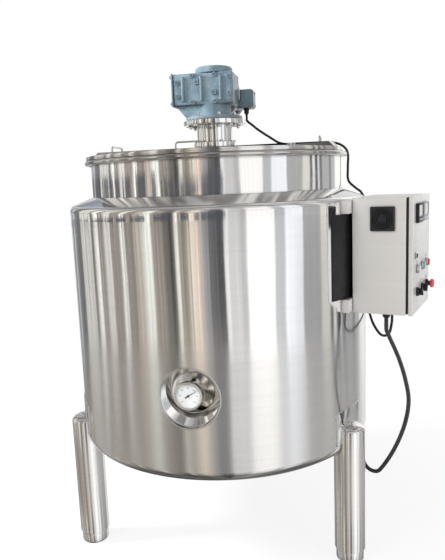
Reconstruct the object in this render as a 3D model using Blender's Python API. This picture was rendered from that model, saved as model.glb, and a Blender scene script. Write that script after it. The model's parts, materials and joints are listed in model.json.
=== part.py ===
"""Heated stainless steel process tank on three legs, with a top-entry agitator drive.

Metres, +Z up. The origin is at ground level on the tank's axis. The front, -Y, holds the
thermometer pocket and the lifting lid. The control cabinet stands off the jacket at the right.
"""
import math

import bmesh
import bpy
from mathutils import Matrix, Vector

# Clearance kept where two pieces touch
TOUCH = 0.0003

# Sides of the turned pieces, by size
LARGE_SIDES = 48
MEDIUM_SIDES = 24
SMALL_SIDES = 12

# Jacket: the insulation lies between the inner vessel, which is the neck, and the jacket
NECK_RADIUS = 0.465
INSULATION = 0.085
JACKET_RADIUS = NECK_RADIUS + INSULATION
JACKET_WALL = 0.003
JACKET_BOTTOM_CORNER = 0.405
JACKET_BOTTOM_KNUCKLE = 0.037
JACKET_BOTTOM_SLOPE = math.radians(8)
JACKET_HEIGHT = 0.9045
SHOULDER_TOP = JACKET_BOTTOM_CORNER + JACKET_HEIGHT
SHOULDER_SLOPE = math.radians(21)
SHOULDER_KNUCKLE = 0.022

# Inner vessel and its rim
VESSEL_WALL = 0.003
BOTTOM_SPACE = 0.085
VESSEL_BOTTOM_CORNER = JACKET_BOTTOM_CORNER + BOTTOM_SPACE
VESSEL_BOTTOM_KNUCKLE = 0.060
VESSEL_BOTTOM_SLOPE = math.radians(8)
NECK_HEIGHT = 0.129
RIM_TOP = SHOULDER_TOP + NECK_HEIGHT
RIM_HEIGHT = 0.017
RIM_OUT = 0.0225

# Outlet at the bottom centre
OUTLET_RADIUS = 0.0265
OUTLET_WALL = 0.0015
OUTLET_REACH = 0.215
OUTLET_END = JACKET_BOTTOM_CORNER - OUTLET_REACH
FERRULE_RADIUS = 0.032
FERRULE_HEIGHT = 0.006

# Lids and the bridge that carries the drive
BRIDGE_WIDTH = 0.240
BRIDGE_END_RADIUS = NECK_RADIUS + 0.009
BRIDGE_TOP_RADIUS = NECK_RADIUS - 0.024
BRIDGE_HEIGHT = 0.0345
BRIDGE_TOP = RIM_TOP + BRIDGE_HEIGHT
BRIDGE_WALL = 0.004
LID_RADIUS = NECK_RADIUS + 0.016
LID_HEIGHT = 0.0135
LID_TOP = RIM_TOP + LID_HEIGHT
LID_WALL = 0.003
LID_HINGE_RADIUS = 0.006
LID_HINGE_WIDTH = 0.028
LID_HINGE_LEAF = 0.028
LID_HINGE_PLACE = 0.280
LID_HINGE_RUN = 0.0005
LID_HANDLE_LENGTH = 0.088
LID_HANDLE_HEIGHT = 0.024
LID_HANDLE_BAR = 0.0028
LID_HANDLE_REACH = NECK_RADIUS - 0.025
LID_HANDLE_SHIFT = 0.008
BRIDGE_HANDLE_REACH = BRIDGE_TOP_RADIUS - 0.050
BRIDGE_HANDLE_LENGTH = 0.108
BRIDGE_HANDLE_HEIGHT = 0.025
BRIDGE_HANDLE_BAR = 0.0035

# Pedestal between the bridge and the gear unit
PEDESTAL_FOOT_RADIUS = 0.079
PEDESTAL_FOOT_HEIGHT = 0.021
PEDESTAL_TUBE_RADIUS = 0.0665
PEDESTAL_BORE_RADIUS = 0.0615
PEDESTAL_HEIGHT = 0.100
PEDESTAL_FLANGE_RADIUS = 0.1155
PEDESTAL_FLANGE_HEIGHT = 0.016
PEDESTAL_TOP = BRIDGE_TOP + PEDESTAL_HEIGHT

# Gear unit; its front details are placed from the housing's left side and from its mid height
GEAR_FLANGE_RADIUS = 0.105
GEAR_FLANGE_HEIGHT = 0.013
GEAR_HUB_RADIUS = 0.065
GEAR_RISE = 0.056
GEAR_HEIGHT = 0.112
GEAR_BOTTOM = PEDESTAL_TOP + GEAR_RISE
GEAR_TOP = GEAR_BOTTOM + GEAR_HEIGHT
GEAR_LEFT = -0.1365
GEAR_RIGHT = 0.085
GEAR_FRONT = -0.065
GEAR_BACK = 0.075
GEAR_EDGE = 0.006
GEAR_WEB_INSET = 0.012
GEAR_RIBS = (0.0365, 0.1055, 0.177)
GEAR_RIB_RADIUS = 0.006
GEAR_RIB_END = 0.013
GEAR_BOSSES = ((0.0145, 0.024), (0.0145, -0.024), (0.2085, 0.036), (0.2085, -0.023))
GEAR_EDGE_BOSSES = (0.0715, 0.155)
GEAR_BOSS_RADIUS = 0.0085
GEAR_BOSS_PROUD = 0.004
GEAR_PLUGS = ((0.089, 0.0234), (0.1524, -0.0157))
GEAR_PLUG_SIZE = 0.016
END_COVER_THICKNESS = 0.007
END_COVER_OVERHANG = 0.003
TOP_COVER_RADIUS = 0.069
TOP_COVER_HEIGHT = 0.023
TOP_COVER_SHIFT = 0.005

# Motor behind the gear unit
MOTOR_RISE = 0.048
MOTOR_AXIS = GEAR_BOTTOM + MOTOR_RISE
MOTOR_FLANGE_RADIUS = 0.088
MOTOR_FLANGE_THICKNESS = 0.018
MOTOR_RADIUS = 0.068
MOTOR_FINS = 20
MOTOR_FIN_HEIGHT = 0.008
MOTOR_LENGTH = 0.175
COWL_RADIUS = 0.071
COWL_LENGTH = 0.050
COWL_EDGE = 0.012
MOTOR_BOX_RIGHT = MOTOR_RADIUS + 0.064
MOTOR_BOX_WIDTH = 0.075
MOTOR_BOX_HEIGHT = 0.069
MOTOR_BOX_BOTTOM = MOTOR_AXIS - 0.052
MOTOR_BOX_TOP = MOTOR_BOX_BOTTOM + MOTOR_BOX_HEIGHT
MOTOR_BOX_REAR = GEAR_BACK + 0.087

# Agitator
SHAFT_RADIUS = 0.020
ANCHOR_HALF_WIDTH = NECK_RADIUS - 0.055
ANCHOR_BAR = 0.045
ANCHOR_THICKNESS = 0.010
ANCHOR_BEND = 0.110
ANCHOR_SAG = 0.035
ANCHOR_BOTTOM = VESSEL_BOTTOM_CORNER + 0.095
ANCHOR_HEIGHT = 0.580
ANCHOR_TOP = ANCHOR_BOTTOM + ANCHOR_HEIGHT
ANCHOR_CROSS = ANCHOR_BOTTOM + 0.280
ANCHOR_HUB_RADIUS = 0.034
ANCHOR_HUB_HALF = 0.035
SHAFT_END = ANCHOR_BOTTOM - 0.040

# Legs and feet
LEG_RADIUS = 0.054
LEG_WALL = 0.004
LEG_AZIMUTHS = {"left": -62, "right": 62, "rear": 180}
LEG_BOTTOM = 0.045
LEG_SHOULDER = JACKET_BOTTOM_CORNER + 0.078
LEG_DOME = 0.026
PAD_HALF_WIDTH = 0.081
PAD_THICKNESS = 0.0035
PAD_BOTTOM = JACKET_BOTTOM_CORNER + 0.040
PAD_HEIGHT = 0.118
PAD_TOP = PAD_BOTTOM + PAD_HEIGHT
FOOT_RADIUS = 0.049
FOOT_EDGE = 0.007

# Thermometer and its pocket
POCKET_X = -0.005
POCKET_Z = JACKET_BOTTOM_CORNER + 0.2785
POCKET_RADIUS = 0.100
POCKET_WALL = 0.002
POCKET_DEPTH = 0.062
POCKET_FLOOR_RADIUS = 0.034
DIAL_SHIFT_X = -0.005
DIAL_SHIFT_Z = 0.006
DIAL_RADIUS = 0.046
DIAL_CASE_DEPTH = 0.024
DIAL_RECESS = 0.004
DIAL_BEZEL = 0.0055
STEM_RADIUS = 0.009

# Control cabinet, in its own frame: it faces -Y before it is turned to its place
CABINET_AZIMUTH = math.radians(73.5)
CABINET_STANDOFF = 0.0045
CABINET_REAR = JACKET_RADIUS + CABINET_STANDOFF
CABINET_SHIFT = 0.036
CABINET_WIDTH = 0.300
CABINET_HEIGHT = 0.380
CABINET_TOP = SHOULDER_TOP - 0.0308
CABINET_DEPTH = 0.172
CABINET_WALL = 0.0025
CABINET_LIP = 0.014
SHEET_EDGE = 0.0015
GASKET_THICKNESS = 0.008
GASKET_WIDTH = 0.010
GASKET_INSET = 0.004
DOOR_THICKNESS = 0.014
DOOR_WALL = 0.002
DOOR_HINGE_RADIUS = 0.006
DOOR_HINGE_LENGTH = 0.026
DOOR_HINGE_INSET = 0.060
DOOR_LEAF = 0.016
CABINET_LEAF = 0.030
HINGE_LEAF_THICKNESS = 0.003
BRACKET_HEIGHT = 0.043
BRACKET_REACH = 0.0945
BRACKET_OVERHANG = 0.040
BRACKET_INSET = 0.006
GRILLE_SIZE = 0.078
GRILLE_THICKNESS = 0.008
GRILLE_CENTRE_DEPTH = 0.099
GRILLE_CENTRE_DROP = 0.068
PLATE_MARGIN = 0.025
PLATE_THICKNESS = 0.003
PLATE_STANDOFF = 0.010
PLATE_POST_RADIUS = 0.006
PLATE_POST_INSET = 0.045
RAIL_HEIGHT = 0.035
RAIL_THICKNESS = 0.006
RAIL_INSET = 0.050
RAIL_RISE = 0.105
UNIT_HEIGHT = 0.075
UNIT_DEPTH = 0.072
UNIT_NOSE = 0.045
UNIT_SHOULDER = 0.046
UNIT_INSET = 0.012

# Door equipment: place across the door from its middle, and down from its top
DISPLAY_WIDTH = 0.080
DISPLAY_HEIGHT = 0.062
DISPLAY_PROUD = 0.010
DISPLAY_DROP = 0.0545
DISPLAY_PLACES = {"temperature_display": -0.068, "timer_display": 0.036}
CONTROL_RADIUS = 0.0145
CONTROL_COLUMNS = (-0.079, 0.010, 0.095)
CONTROL_DROPS = (0.236, 0.312)
STOP_HEAD_RADIUS = 0.015
STOP_HEIGHT = 0.028
LOCK_DROP = 0.190
LOCK_PLACE = -0.106
LOCK_SIZE = 0.022
LOCK_PROUD = 0.004
PANEL_EDGE = 0.002

# Cable glands and cables
GLAND_RADIUS = 0.011
GLAND_LENGTH = 0.022
MOTOR_CABLE_RADIUS = 0.0045
HEATER_CABLE_RADIUS = 0.0075
HEATER_BOX_RADIUS = JACKET_RADIUS - 0.150
HEATER_BOX_SIZE = 0.090
HEATER_BOX_BOTTOM = JACKET_BOTTOM_CORNER - 0.095

# Colours as red, green, blue, with metallic value and roughness
FINISHES = {
    "brushed_steel": ((0.62, 0.60, 0.58), 1.0, 0.34),
    "polished_steel": ((0.74, 0.73, 0.72), 1.0, 0.12),
    "blue_grey_paint": ((0.21, 0.31, 0.37), 0.0, 0.45),
    "cast_aluminium": ((0.66, 0.64, 0.58), 1.0, 0.40),
    "black_plastic": ((0.02, 0.02, 0.022), 0.0, 0.45),
    "grey_plastic": ((0.30, 0.31, 0.33), 0.0, 0.45),
    "black_rubber": ((0.015, 0.015, 0.016), 0.0, 0.62),
    "white_enamel": ((0.86, 0.86, 0.84), 0.0, 0.40),
    "clear_glass": ((0.90, 0.93, 0.94), 0.0, 0.05),
    "green_plastic": ((0.05, 0.38, 0.12), 0.0, 0.40),
    "red_plastic": ((0.55, 0.03, 0.03), 0.0, 0.38),
    "teal_plastic": ((0.10, 0.42, 0.42), 0.0, 0.40),
    "grey_paint": ((0.62, 0.63, 0.64), 0.0, 0.50),
}


def clear_objects():
    for obj in list(bpy.data.objects):
        bpy.data.objects.remove(obj, do_unlink=True)


def finish(name):
    """The named finish as a material, made once."""
    if name in bpy.data.materials:
        return bpy.data.materials[name]
    colour, metallic, roughness = FINISHES[name]
    material = bpy.data.materials.new(name)
    material.use_nodes = True
    shader = material.node_tree.nodes["Principled BSDF"]
    shader.inputs["Base Color"].default_value = (*colour, 1.0)
    shader.inputs["Metallic"].default_value = metallic
    shader.inputs["Roughness"].default_value = roughness
    return material


# Outlines and paths

def rounded(points, radius, steps=4):
    """A path of straight runs whose inner corners are rounded; radius is one value or a list."""
    points = [Vector(point) for point in points]
    radii = list(radius) if isinstance(radius, (list, tuple)) else [radius] * (len(points) - 2)
    path = [points[0]]
    for before, corner, after, bend in zip(points, points[1:], points[2:], radii):
        come = (before - corner).normalized()
        leave = (after - corner).normalized()
        half = come.angle(leave) / 2
        if bend <= 0 or half > math.radians(89):
            path.append(corner)
            continue
        centre = corner + (come + leave).normalized() * (bend / math.sin(half))
        start = corner + come * (bend / math.tan(half))
        end = corner + leave * (bend / math.tan(half))
        for step in range(steps + 1):
            way = start.lerp(end, step / steps)
            path.append(centre + (way - centre).normalized() * bend)
    path.append(points[-1])
    return path


def profile(points, radius=0.0, steps=4):
    """Points given as radius and height, on the XZ plane, with rounded inner corners."""
    return rounded([(r, 0, z) for r, z in points], radius, steps)


def walled(outer, wall):
    """A closed outline: the outer line, top to bottom, and the same line set in by the wall.

    A steep end is cut level with the end of the outer line, a flat end at its radius.
    """
    inner = []
    for index, point in enumerate(outer):
        runs = []
        if index > 0:
            runs.append((point - outer[index - 1]).normalized())
        if index < len(outer) - 1:
            runs.append((outer[index + 1] - point).normalized())
        inwards = [Vector((run.z, 0, -run.x)) for run in runs]
        middle = sum(inwards, Vector()).normalized()
        moved = point + middle * (wall / middle.dot(inwards[0]))
        if len(runs) == 1:
            axis = 0 if abs(runs[0].x) > 0.5 else 2
            moved += runs[0] * ((point[axis] - moved[axis]) / runs[0][axis])
        inner.append(moved)
    return outer + inner[::-1]


def arc(centre, radius, start, end, steps):
    """Points on an arc in a plane, as pairs; angles in degrees."""
    turns = [math.radians(start + (end - start) * step / steps) for step in range(steps + 1)]
    return [(centre[0] + radius * math.cos(turn), centre[1] + radius * math.sin(turn)) for turn in turns]


def cable_route(start, leave, points, end, arrive, radius):
    """A smooth path through hand-set points; it leaves and enters its glands straight."""
    spacing = 5 * radius
    start, end = Vector(start), Vector(end)
    ends = [start, start + leave * spacing, *map(Vector, points), end + arrive * spacing, end]
    fine = []
    for p0, p1, p2, p3 in zip(ends, ends[1:], ends[2:], ends[3:]):
        for step in range(20):
            t = step / 20
            fine.append(0.5 * (2 * p1 + (p2 - p0) * t + (2 * p0 - 5 * p1 + 4 * p2 - p3) * t * t
                               + (3 * p1 - p0 - 3 * p2 + p3) * t * t * t))
    fine.append(ends[-2])
    length = sum((b - a).length for a, b in zip(fine, fine[1:]))
    count = round(length / spacing)
    route = [start, fine[0]]
    walked = 0.0
    for a, b in zip(fine, fine[1:]):
        run = (b - a).length
        target = (len(route) - 1) * length / count
        if walked + run >= target and len(route) <= count:
            route.append(a.lerp(b, (target - walked) / run))
        walked += run
    return [*route, fine[-1], end]


# Solids

def solid(name, bm, finish_name, sharp=35):
    """An object made from a bmesh, with outward faces and round parts shaded smooth."""
    bmesh.ops.recalc_face_normals(bm, faces=bm.faces)
    mesh = bpy.data.meshes.new(name)
    bm.to_mesh(mesh)
    bm.free()
    mesh.materials.append(finish(finish_name))
    mesh.shade_smooth()
    mesh.set_sharp_from_angle(angle=math.radians(sharp))
    obj = bpy.data.objects.new(name, mesh)
    bpy.context.collection.objects.link(obj)
    return obj


def turned(name, outline, finish_name, sides=LARGE_SIDES, place=None):
    """A closed outline, or one whose ends lie on the axis, turned about +Z."""
    bm = bmesh.new()
    verts = [bm.verts.new(point) for point in outline]
    edges = [bm.edges.new(pair) for pair in zip(verts, verts[1:])]
    if outline[0].x > 1e-6 or outline[-1].x > 1e-6:
        edges.append(bm.edges.new((verts[-1], verts[0])))
    bmesh.ops.spin(bm, geom=verts + edges, cent=(0, 0, 0), axis=(0, 0, 1),
                   angle=math.tau, steps=sides, use_merge=True, use_duplicate=False)
    bmesh.ops.remove_doubles(bm, verts=bm.verts, dist=1e-6)
    if place is not None:
        bmesh.ops.transform(bm, matrix=place, verts=bm.verts)
    return solid(name, bm, finish_name)


def block(name, low, high, finish_name, edge=0.0, segments=2):
    """A box between two corners, with rounded edges if asked."""
    low, high = Vector(low), Vector(high)
    bm = bmesh.new()
    bmesh.ops.create_cube(bm, size=1.0)
    size = high - low
    bmesh.ops.transform(bm, matrix=Matrix.Translation((low + high) / 2) @ Matrix.Diagonal((*size, 1)),
                        verts=bm.verts)
    if edge > 0:
        bmesh.ops.bevel(bm, geom=bm.edges, offset=edge, segments=segments, profile=0.5, affect="EDGES")
    return solid(name, bm, finish_name)


def extruded(name, outline, run, finish_name):
    """A flat outline of points, pushed along a vector."""
    bm = bmesh.new()
    face = bm.faces.new([bm.verts.new(point) for point in outline])
    pushed = bmesh.ops.extrude_face_region(bm, geom=[face])["geom"]
    bmesh.ops.translate(bm, vec=run, verts=[v for v in pushed if isinstance(v, bmesh.types.BMVert)])
    return solid(name, bm, finish_name)


def rod(name, start, end, radius, finish_name, sides=SMALL_SIDES):
    """A round bar between two points."""
    start, end = Vector(start), Vector(end)
    run = end - start
    bm = bmesh.new()
    place = Matrix.Translation((start + end) / 2) @ run.to_track_quat("Z", "Y").to_matrix().to_4x4()
    bmesh.ops.create_cone(bm, cap_ends=True, segments=sides, radius1=radius, radius2=radius,
                          depth=run.length, matrix=place)
    return solid(name, bm, finish_name)


def bent_bar(name, path, radius, finish_name, resolution=2):
    """A round bar or cable that follows a path, with closed ends."""
    curve = bpy.data.curves.new(name, "CURVE")
    curve.dimensions = "3D"
    curve.bevel_depth = radius
    curve.bevel_resolution = resolution
    curve.use_fill_caps = True
    spline = curve.splines.new("POLY")
    spline.points.add(len(path) - 1)
    for point, place in zip(spline.points, path):
        point.co = (*place, 1.0)
    curve.materials.append(finish(finish_name))
    obj = bpy.data.objects.new(name, curve)
    bpy.context.collection.objects.link(obj)
    return obj


def joined(name, tools):
    """Several solids that stay clear of each other, as one tool."""
    bm = bmesh.new()
    for tool in tools:
        bm.from_mesh(tool.data)
        bpy.data.objects.remove(tool, do_unlink=True)
    mesh = bpy.data.meshes.new(name)
    bm.to_mesh(mesh)
    bm.free()
    obj = bpy.data.objects.new(name, mesh)
    bpy.context.collection.objects.link(obj)
    return obj


def carve(target, tool, operation="DIFFERENCE"):
    """Cut a tool out of a target, add it or keep only what they share."""
    tool.hide_render = True
    tool.display_type = "WIRE"
    modifier = target.modifiers.new(operation.lower(), "BOOLEAN")
    modifier.operation = operation
    modifier.solver = "EXACT"
    modifier.object = tool
    return target


def put_under(children, frame):
    for child in children:
        child.parent = frame


def hang(name, pivot, pieces, frame=None):
    """Hangs pieces that were made in place on an empty that stands on their joint's axis."""
    axis = bpy.data.objects.new(name, None)
    bpy.context.collection.objects.link(axis)
    axis.location = pivot
    axis.parent = frame
    for piece in pieces:
        piece.data.transform(Matrix.Translation(-Vector(pivot)))
        piece.parent = axis


def polar(radius, azimuth, z):
    """A point at an azimuth in degrees, counted from the front, -Y, towards +X."""
    turn = math.radians(azimuth)
    return Vector((radius * math.sin(turn), -radius * math.cos(turn), z))


# Jacket, vessel and outlet

def jacket_outline():
    """The outer line of the jacket, from its neck down to the outlet."""
    neck = NECK_RADIUS + TOUCH
    hole = OUTLET_RADIUS + TOUCH
    corner = SHOULDER_TOP - (JACKET_RADIUS - neck) * math.tan(SHOULDER_SLOPE)
    centre = JACKET_BOTTOM_CORNER - (JACKET_RADIUS - hole) * math.tan(JACKET_BOTTOM_SLOPE)
    points = [(neck, SHOULDER_TOP), (JACKET_RADIUS, corner),
              (JACKET_RADIUS, JACKET_BOTTOM_CORNER), (hole, centre)]
    return profile(points, [SHOULDER_KNUCKLE, JACKET_BOTTOM_KNUCKLE], 3)


def jacket_envelope(name, gap):
    """The jacket's whole outside as a solid tool, grown by a gap."""
    outline = [point.copy() for point in jacket_outline()]
    grown = walled(outline, -gap)[len(outline):][::-1]
    top, bottom = grown[0], grown[-1]
    closed = [Vector((0, 0, top.z)), *grown, Vector((0, 0, bottom.z))]
    return turned(name, closed, "brushed_steel")


def shell_pieces(outline, cuts, wall, finish_name):
    """Turned sheets along one outline; cuts gives each name's first and last point."""
    for name, (first, last) in cuts.items():
        part = [point.copy() for point in outline[first:last + 1]]
        if first > 0:
            part[0].z -= TOUCH
        turned(name, walled(part, wall), finish_name)


def make_jacket():
    """Shoulder, wall and bottom, each its own sheet; the bends have four points each."""
    cuts = {"jacket_shoulder": (0, 4), "jacket_wall": (4, 5), "jacket_bottom": (5, 9)}
    shell_pieces(jacket_outline(), cuts, JACKET_WALL, "brushed_steel")
    jacket = bpy.data.objects["jacket_wall"]
    hole = rod("pocket_hole", (POCKET_X, -JACKET_RADIUS - 0.05, POCKET_Z),
               (POCKET_X, -JACKET_RADIUS + POCKET_DEPTH, POCKET_Z), POCKET_RADIUS + TOUCH,
               "brushed_steel", 32)
    return carve(jacket, hole)


def make_vessel():
    hole = OUTLET_RADIUS + TOUCH
    centre = VESSEL_BOTTOM_CORNER - (NECK_RADIUS - hole) * math.tan(VESSEL_BOTTOM_SLOPE)
    points = [(NECK_RADIUS, RIM_TOP - 0.0005), (NECK_RADIUS, VESSEL_BOTTOM_CORNER), (hole, centre)]
    cuts = {"vessel_wall": (0, 1), "vessel_bottom": (1, 5)}
    shell_pieces(profile(points, [VESSEL_BOTTOM_KNUCKLE], 3), cuts, VESSEL_WALL, "polished_steel")


def make_rim():
    """A half-round bar welded around the top of the neck."""
    inner = NECK_RADIUS + TOUCH
    half = RIM_HEIGHT / 2
    middle = RIM_TOP - half
    bend = NECK_RADIUS + RIM_OUT - half
    outer = [(r, z) for r, z in arc((bend, middle), half, 90, -90, 5)]
    points = [(inner, RIM_TOP), *outer, (inner, RIM_TOP - RIM_HEIGHT)]
    return turned("rim_ring", profile(points), "polished_steel")


def make_outlet():
    vessel_centre = VESSEL_BOTTOM_CORNER - NECK_RADIUS * math.tan(VESSEL_BOTTOM_SLOPE)
    top = vessel_centre + VESSEL_WALL
    bore = OUTLET_RADIUS - OUTLET_WALL
    points = [(bore, top), (OUTLET_RADIUS, top), (OUTLET_RADIUS, OUTLET_END + FERRULE_HEIGHT + 0.004),
              (FERRULE_RADIUS, OUTLET_END + FERRULE_HEIGHT), (FERRULE_RADIUS, OUTLET_END),
              (bore, OUTLET_END)]
    return turned("outlet_pipe", profile(points), "polished_steel", MEDIUM_SIDES)


# Lids, bridge and handles

def strip_outline(radius, half_width, z):
    """The part of a disc between two lines parallel to X, seen from above."""
    reach = math.degrees(math.asin(half_width / radius))
    right = arc((0, 0), radius, -reach, reach, 6)
    left = arc((0, 0), radius, 180 - reach, 180 + reach, 6)
    return [Vector((x, y, z)) for x, y in right + left]


def hinge_outline(radius, leaf, thickness):
    """A knuckle with a leaf that leaves it at the bottom, towards -X, as flat points."""
    knuckle = arc((0, 0), radius, -90, 180 + math.degrees(math.asin((radius - thickness) / radius)), 10)
    return [(-leaf, -radius), *knuckle, (-leaf, -radius + thickness)]


def lid_hinge_line():
    """The place of the lid's hinge line, as y and z."""
    return (-BRIDGE_WIDTH / 2 - LID_HINGE_RADIUS - LID_HINGE_RUN, LID_TOP + LID_HINGE_RADIUS)


def make_bridge():
    """A shallow folded beam from rim to rim, open below, with sloped ends."""
    low = RIM_TOP + TOUCH
    half = BRIDGE_WIDTH / 2
    bm = bmesh.new()
    rings = []
    for radius, z in ((BRIDGE_END_RADIUS, low), (BRIDGE_TOP_RADIUS, BRIDGE_TOP)):
        verts = [bm.verts.new(point) for point in strip_outline(radius, half, z)]
        rings.append([bm.edges.new(pair) for pair in zip(verts, verts[1:] + verts[:1])])
        bm.faces.new(verts)
    bmesh.ops.bridge_loops(bm, edges=rings[0] + rings[1])
    bridge = solid("bridge", bm, "brushed_steel")
    inner = half - BRIDGE_WALL
    hollow_low = strip_outline(BRIDGE_TOP_RADIUS - 2 * BRIDGE_WALL, inner, low - 0.01)
    hollow = extruded("bridge_hollow", hollow_low, (0, 0, BRIDGE_TOP - BRIDGE_WALL - low + 0.01),
                      "brushed_steel")
    carve(bridge, hollow)
    bore = rod("bridge_bore", (0, 0, low), (0, 0, BRIDGE_TOP + 0.01), SHAFT_RADIUS + 0.004,
               "brushed_steel", MEDIUM_SIDES)
    carve(bridge, bore)
    return carve(bridge, joined("bridge_knuckles", bridge_knuckles()), "UNION")


def bridge_knuckles():
    """The fixed halves of the lid's two hinges, on the front side of the bridge."""
    y, z = lid_hinge_line()
    leaf = BRIDGE_TOP - z - 0.001
    halves = []
    for side in (-1, 1):
        x = side * LID_HINGE_PLACE + 0.0005
        flat = hinge_outline(LID_HINGE_RADIUS, leaf, HINGE_LEAF_THICKNESS)
        outline = [Vector((x, y - v + LID_HINGE_RUN * 2, z - u)) for u, v in flat]
        halves.append(extruded("knuckle", outline, (LID_HINGE_WIDTH, 0, 0), "brushed_steel"))
    return halves


def half_lid(name, side):
    """One half of the cover as a shallow tray, open below; side is -1 in front and 1 behind."""
    hinge_y = abs(lid_hinge_line()[0])
    reach = math.degrees(math.asin(hinge_y / LID_RADIUS))
    low = RIM_TOP + TOUCH
    bm = bmesh.new()
    flat = arc((0, 0), LID_RADIUS, reach, 180 - reach, 30)
    face = bm.faces.new([bm.verts.new((x, side * y, low)) for x, y in flat])
    pushed = bmesh.ops.extrude_face_region(bm, geom=[face])["geom"]
    top = [v for v in pushed if isinstance(v, bmesh.types.BMVert)]
    bmesh.ops.translate(bm, vec=(0, 0, LID_TOP - low), verts=top)
    bmesh.ops.recalc_face_normals(bm, faces=bm.faces)
    under = min(bm.faces, key=lambda f: f.calc_center_median().z)
    bmesh.ops.inset_region(bm, faces=[under], thickness=LID_WALL, use_even_offset=True)
    deeper = bmesh.ops.extrude_face_region(bm, geom=[under])["geom"]
    bmesh.ops.delete(bm, geom=[under], context="FACES_ONLY")
    inside = [v for v in deeper if isinstance(v, bmesh.types.BMVert)]
    bmesh.ops.translate(bm, vec=(0, 0, LID_TOP - LID_WALL - low), verts=inside)
    return solid(name, bm, "polished_steel")


def make_front_lid():
    lid = half_lid("front_lid", -1)
    y, z = lid_hinge_line()
    halves = []
    for side in (-1, 1):
        x = side * LID_HINGE_PLACE - 0.0005 - LID_HINGE_WIDTH
        outline = [Vector((x, y + u, z + v - 0.0005))
                   for u, v in hinge_outline(LID_HINGE_RADIUS, LID_HINGE_LEAF, HINGE_LEAF_THICKNESS)]
        halves.append(extruded("knuckle", outline, (LID_HINGE_WIDTH, 0, 0), "polished_steel"))
    tool = joined("lid_knuckles", halves)
    carve(lid, tool, "UNION")
    hang("lid_hinge", (0, y, z), [lid, tool, lid_handle("front_lid_handle", -1)])


def staple(name, middle, run, length, height, bar, finish_name):
    """A bent bar handle: two posts and a top bar along a direction."""
    middle, run = Vector(middle), Vector(run).normalized()
    a = middle - run * length / 2
    b = middle + run * length / 2
    up = Vector((0, 0, height - bar))
    return bent_bar(name, rounded([a, a + up, b + up, b], 3 * bar, 3), bar, finish_name)


def lid_handle(name, side):
    return staple(name, (LID_HANDLE_SHIFT, side * LID_HANDLE_REACH, LID_TOP + TOUCH), (1, 0, 0),
                  LID_HANDLE_LENGTH, LID_HANDLE_HEIGHT, LID_HANDLE_BAR, "polished_steel")


def make_rear_lid():
    half_lid("rear_lid", 1)
    lid_handle("rear_lid_handle", 1)


def make_bridge_handles():
    for name, side in {"bridge_handle_left": -1, "bridge_handle_right": 1}.items():
        staple(name, (side * BRIDGE_HANDLE_REACH, 0, BRIDGE_TOP + TOUCH), (0, 1, 0),
               BRIDGE_HANDLE_LENGTH, BRIDGE_HANDLE_HEIGHT, BRIDGE_HANDLE_BAR, "polished_steel")


# Drive

def make_pedestal():
    low = BRIDGE_TOP + TOUCH
    top = PEDESTAL_TOP
    foot = low + PEDESTAL_FOOT_HEIGHT
    flange = top - PEDESTAL_FLANGE_HEIGHT
    points = [(PEDESTAL_BORE_RADIUS, low), (PEDESTAL_FOOT_RADIUS, low), (PEDESTAL_FOOT_RADIUS, foot),
              (PEDESTAL_TUBE_RADIUS, foot), (PEDESTAL_TUBE_RADIUS, flange),
              (PEDESTAL_FLANGE_RADIUS, flange), (PEDESTAL_FLANGE_RADIUS, top),
              (PEDESTAL_BORE_RADIUS, top)]
    return turned("pedestal", profile(points), "polished_steel", 36)


def make_gear_housing():
    """Cast gear case on a round flange and hub, with front ribs, bolt bosses and plugs."""
    low = PEDESTAL_TOP + TOUCH
    hub = low + GEAR_FLANGE_HEIGHT
    front = GEAR_FRONT
    middle = (GEAR_TOP + GEAR_BOTTOM) / 2
    into = GEAR_BOTTOM + GEAR_EDGE * 2
    housing = block("gear_housing", (GEAR_LEFT, front, GEAR_BOTTOM),
                    (GEAR_RIGHT, GEAR_BACK, GEAR_TOP), "blue_grey_paint", GEAR_EDGE)
    points = [(0, low), (GEAR_FLANGE_RADIUS, low), (GEAR_FLANGE_RADIUS, hub),
              (GEAR_HUB_RADIUS, hub), (GEAR_HUB_RADIUS, into), (0, into)]
    carve(housing, turned("gear_hub", profile(points), "blue_grey_paint", 36), "UNION")
    web = [(GEAR_LEFT + GEAR_EDGE, into), (GEAR_LEFT + GEAR_EDGE, GEAR_BOTTOM - 0.002),
           (-GEAR_FLANGE_RADIUS + GEAR_WEB_INSET, hub - 0.004), (-GEAR_HUB_RADIUS / 2, hub - 0.004),
           (-GEAR_HUB_RADIUS / 2, into)]
    flat = [Vector((x, front + GEAR_WEB_INSET, z)) for x, z in web]
    deep = Vector((0, GEAR_BACK - front - 2 * GEAR_WEB_INSET, 0))
    carve(housing, extruded("gear_web", flat, deep, "blue_grey_paint"), "UNION")
    details = []
    for run in GEAR_RIBS:
        x = GEAR_LEFT + run
        details.append(rod("rib", (x, front, GEAR_BOTTOM + GEAR_RIB_END), (x, front, GEAR_TOP - GEAR_RIB_END),
                           GEAR_RIB_RADIUS, "blue_grey_paint"))
    edge = GEAR_HEIGHT / 2 - GEAR_BOSS_RADIUS - 0.001
    places = [*GEAR_BOSSES, *((run, side * edge) for run in GEAR_EDGE_BOSSES for side in (-1, 1))]
    for run, rise in places:
        x = GEAR_LEFT + run
        z = middle + rise
        details.append(rod("boss", (x, front + 0.003, z), (x, front - GEAR_BOSS_PROUD, z),
                           GEAR_BOSS_RADIUS, "blue_grey_paint"))
    for run, rise in GEAR_PLUGS:
        x = GEAR_LEFT + run
        half = GEAR_PLUG_SIZE / 2
        details.append(block("plug", (x - half, front - GEAR_BOSS_PROUD, middle + rise - half),
                             (x + half, front + 0.003, middle + rise + half), "blue_grey_paint"))
    return carve(housing, joined("gear_details", details), "UNION")


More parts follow.
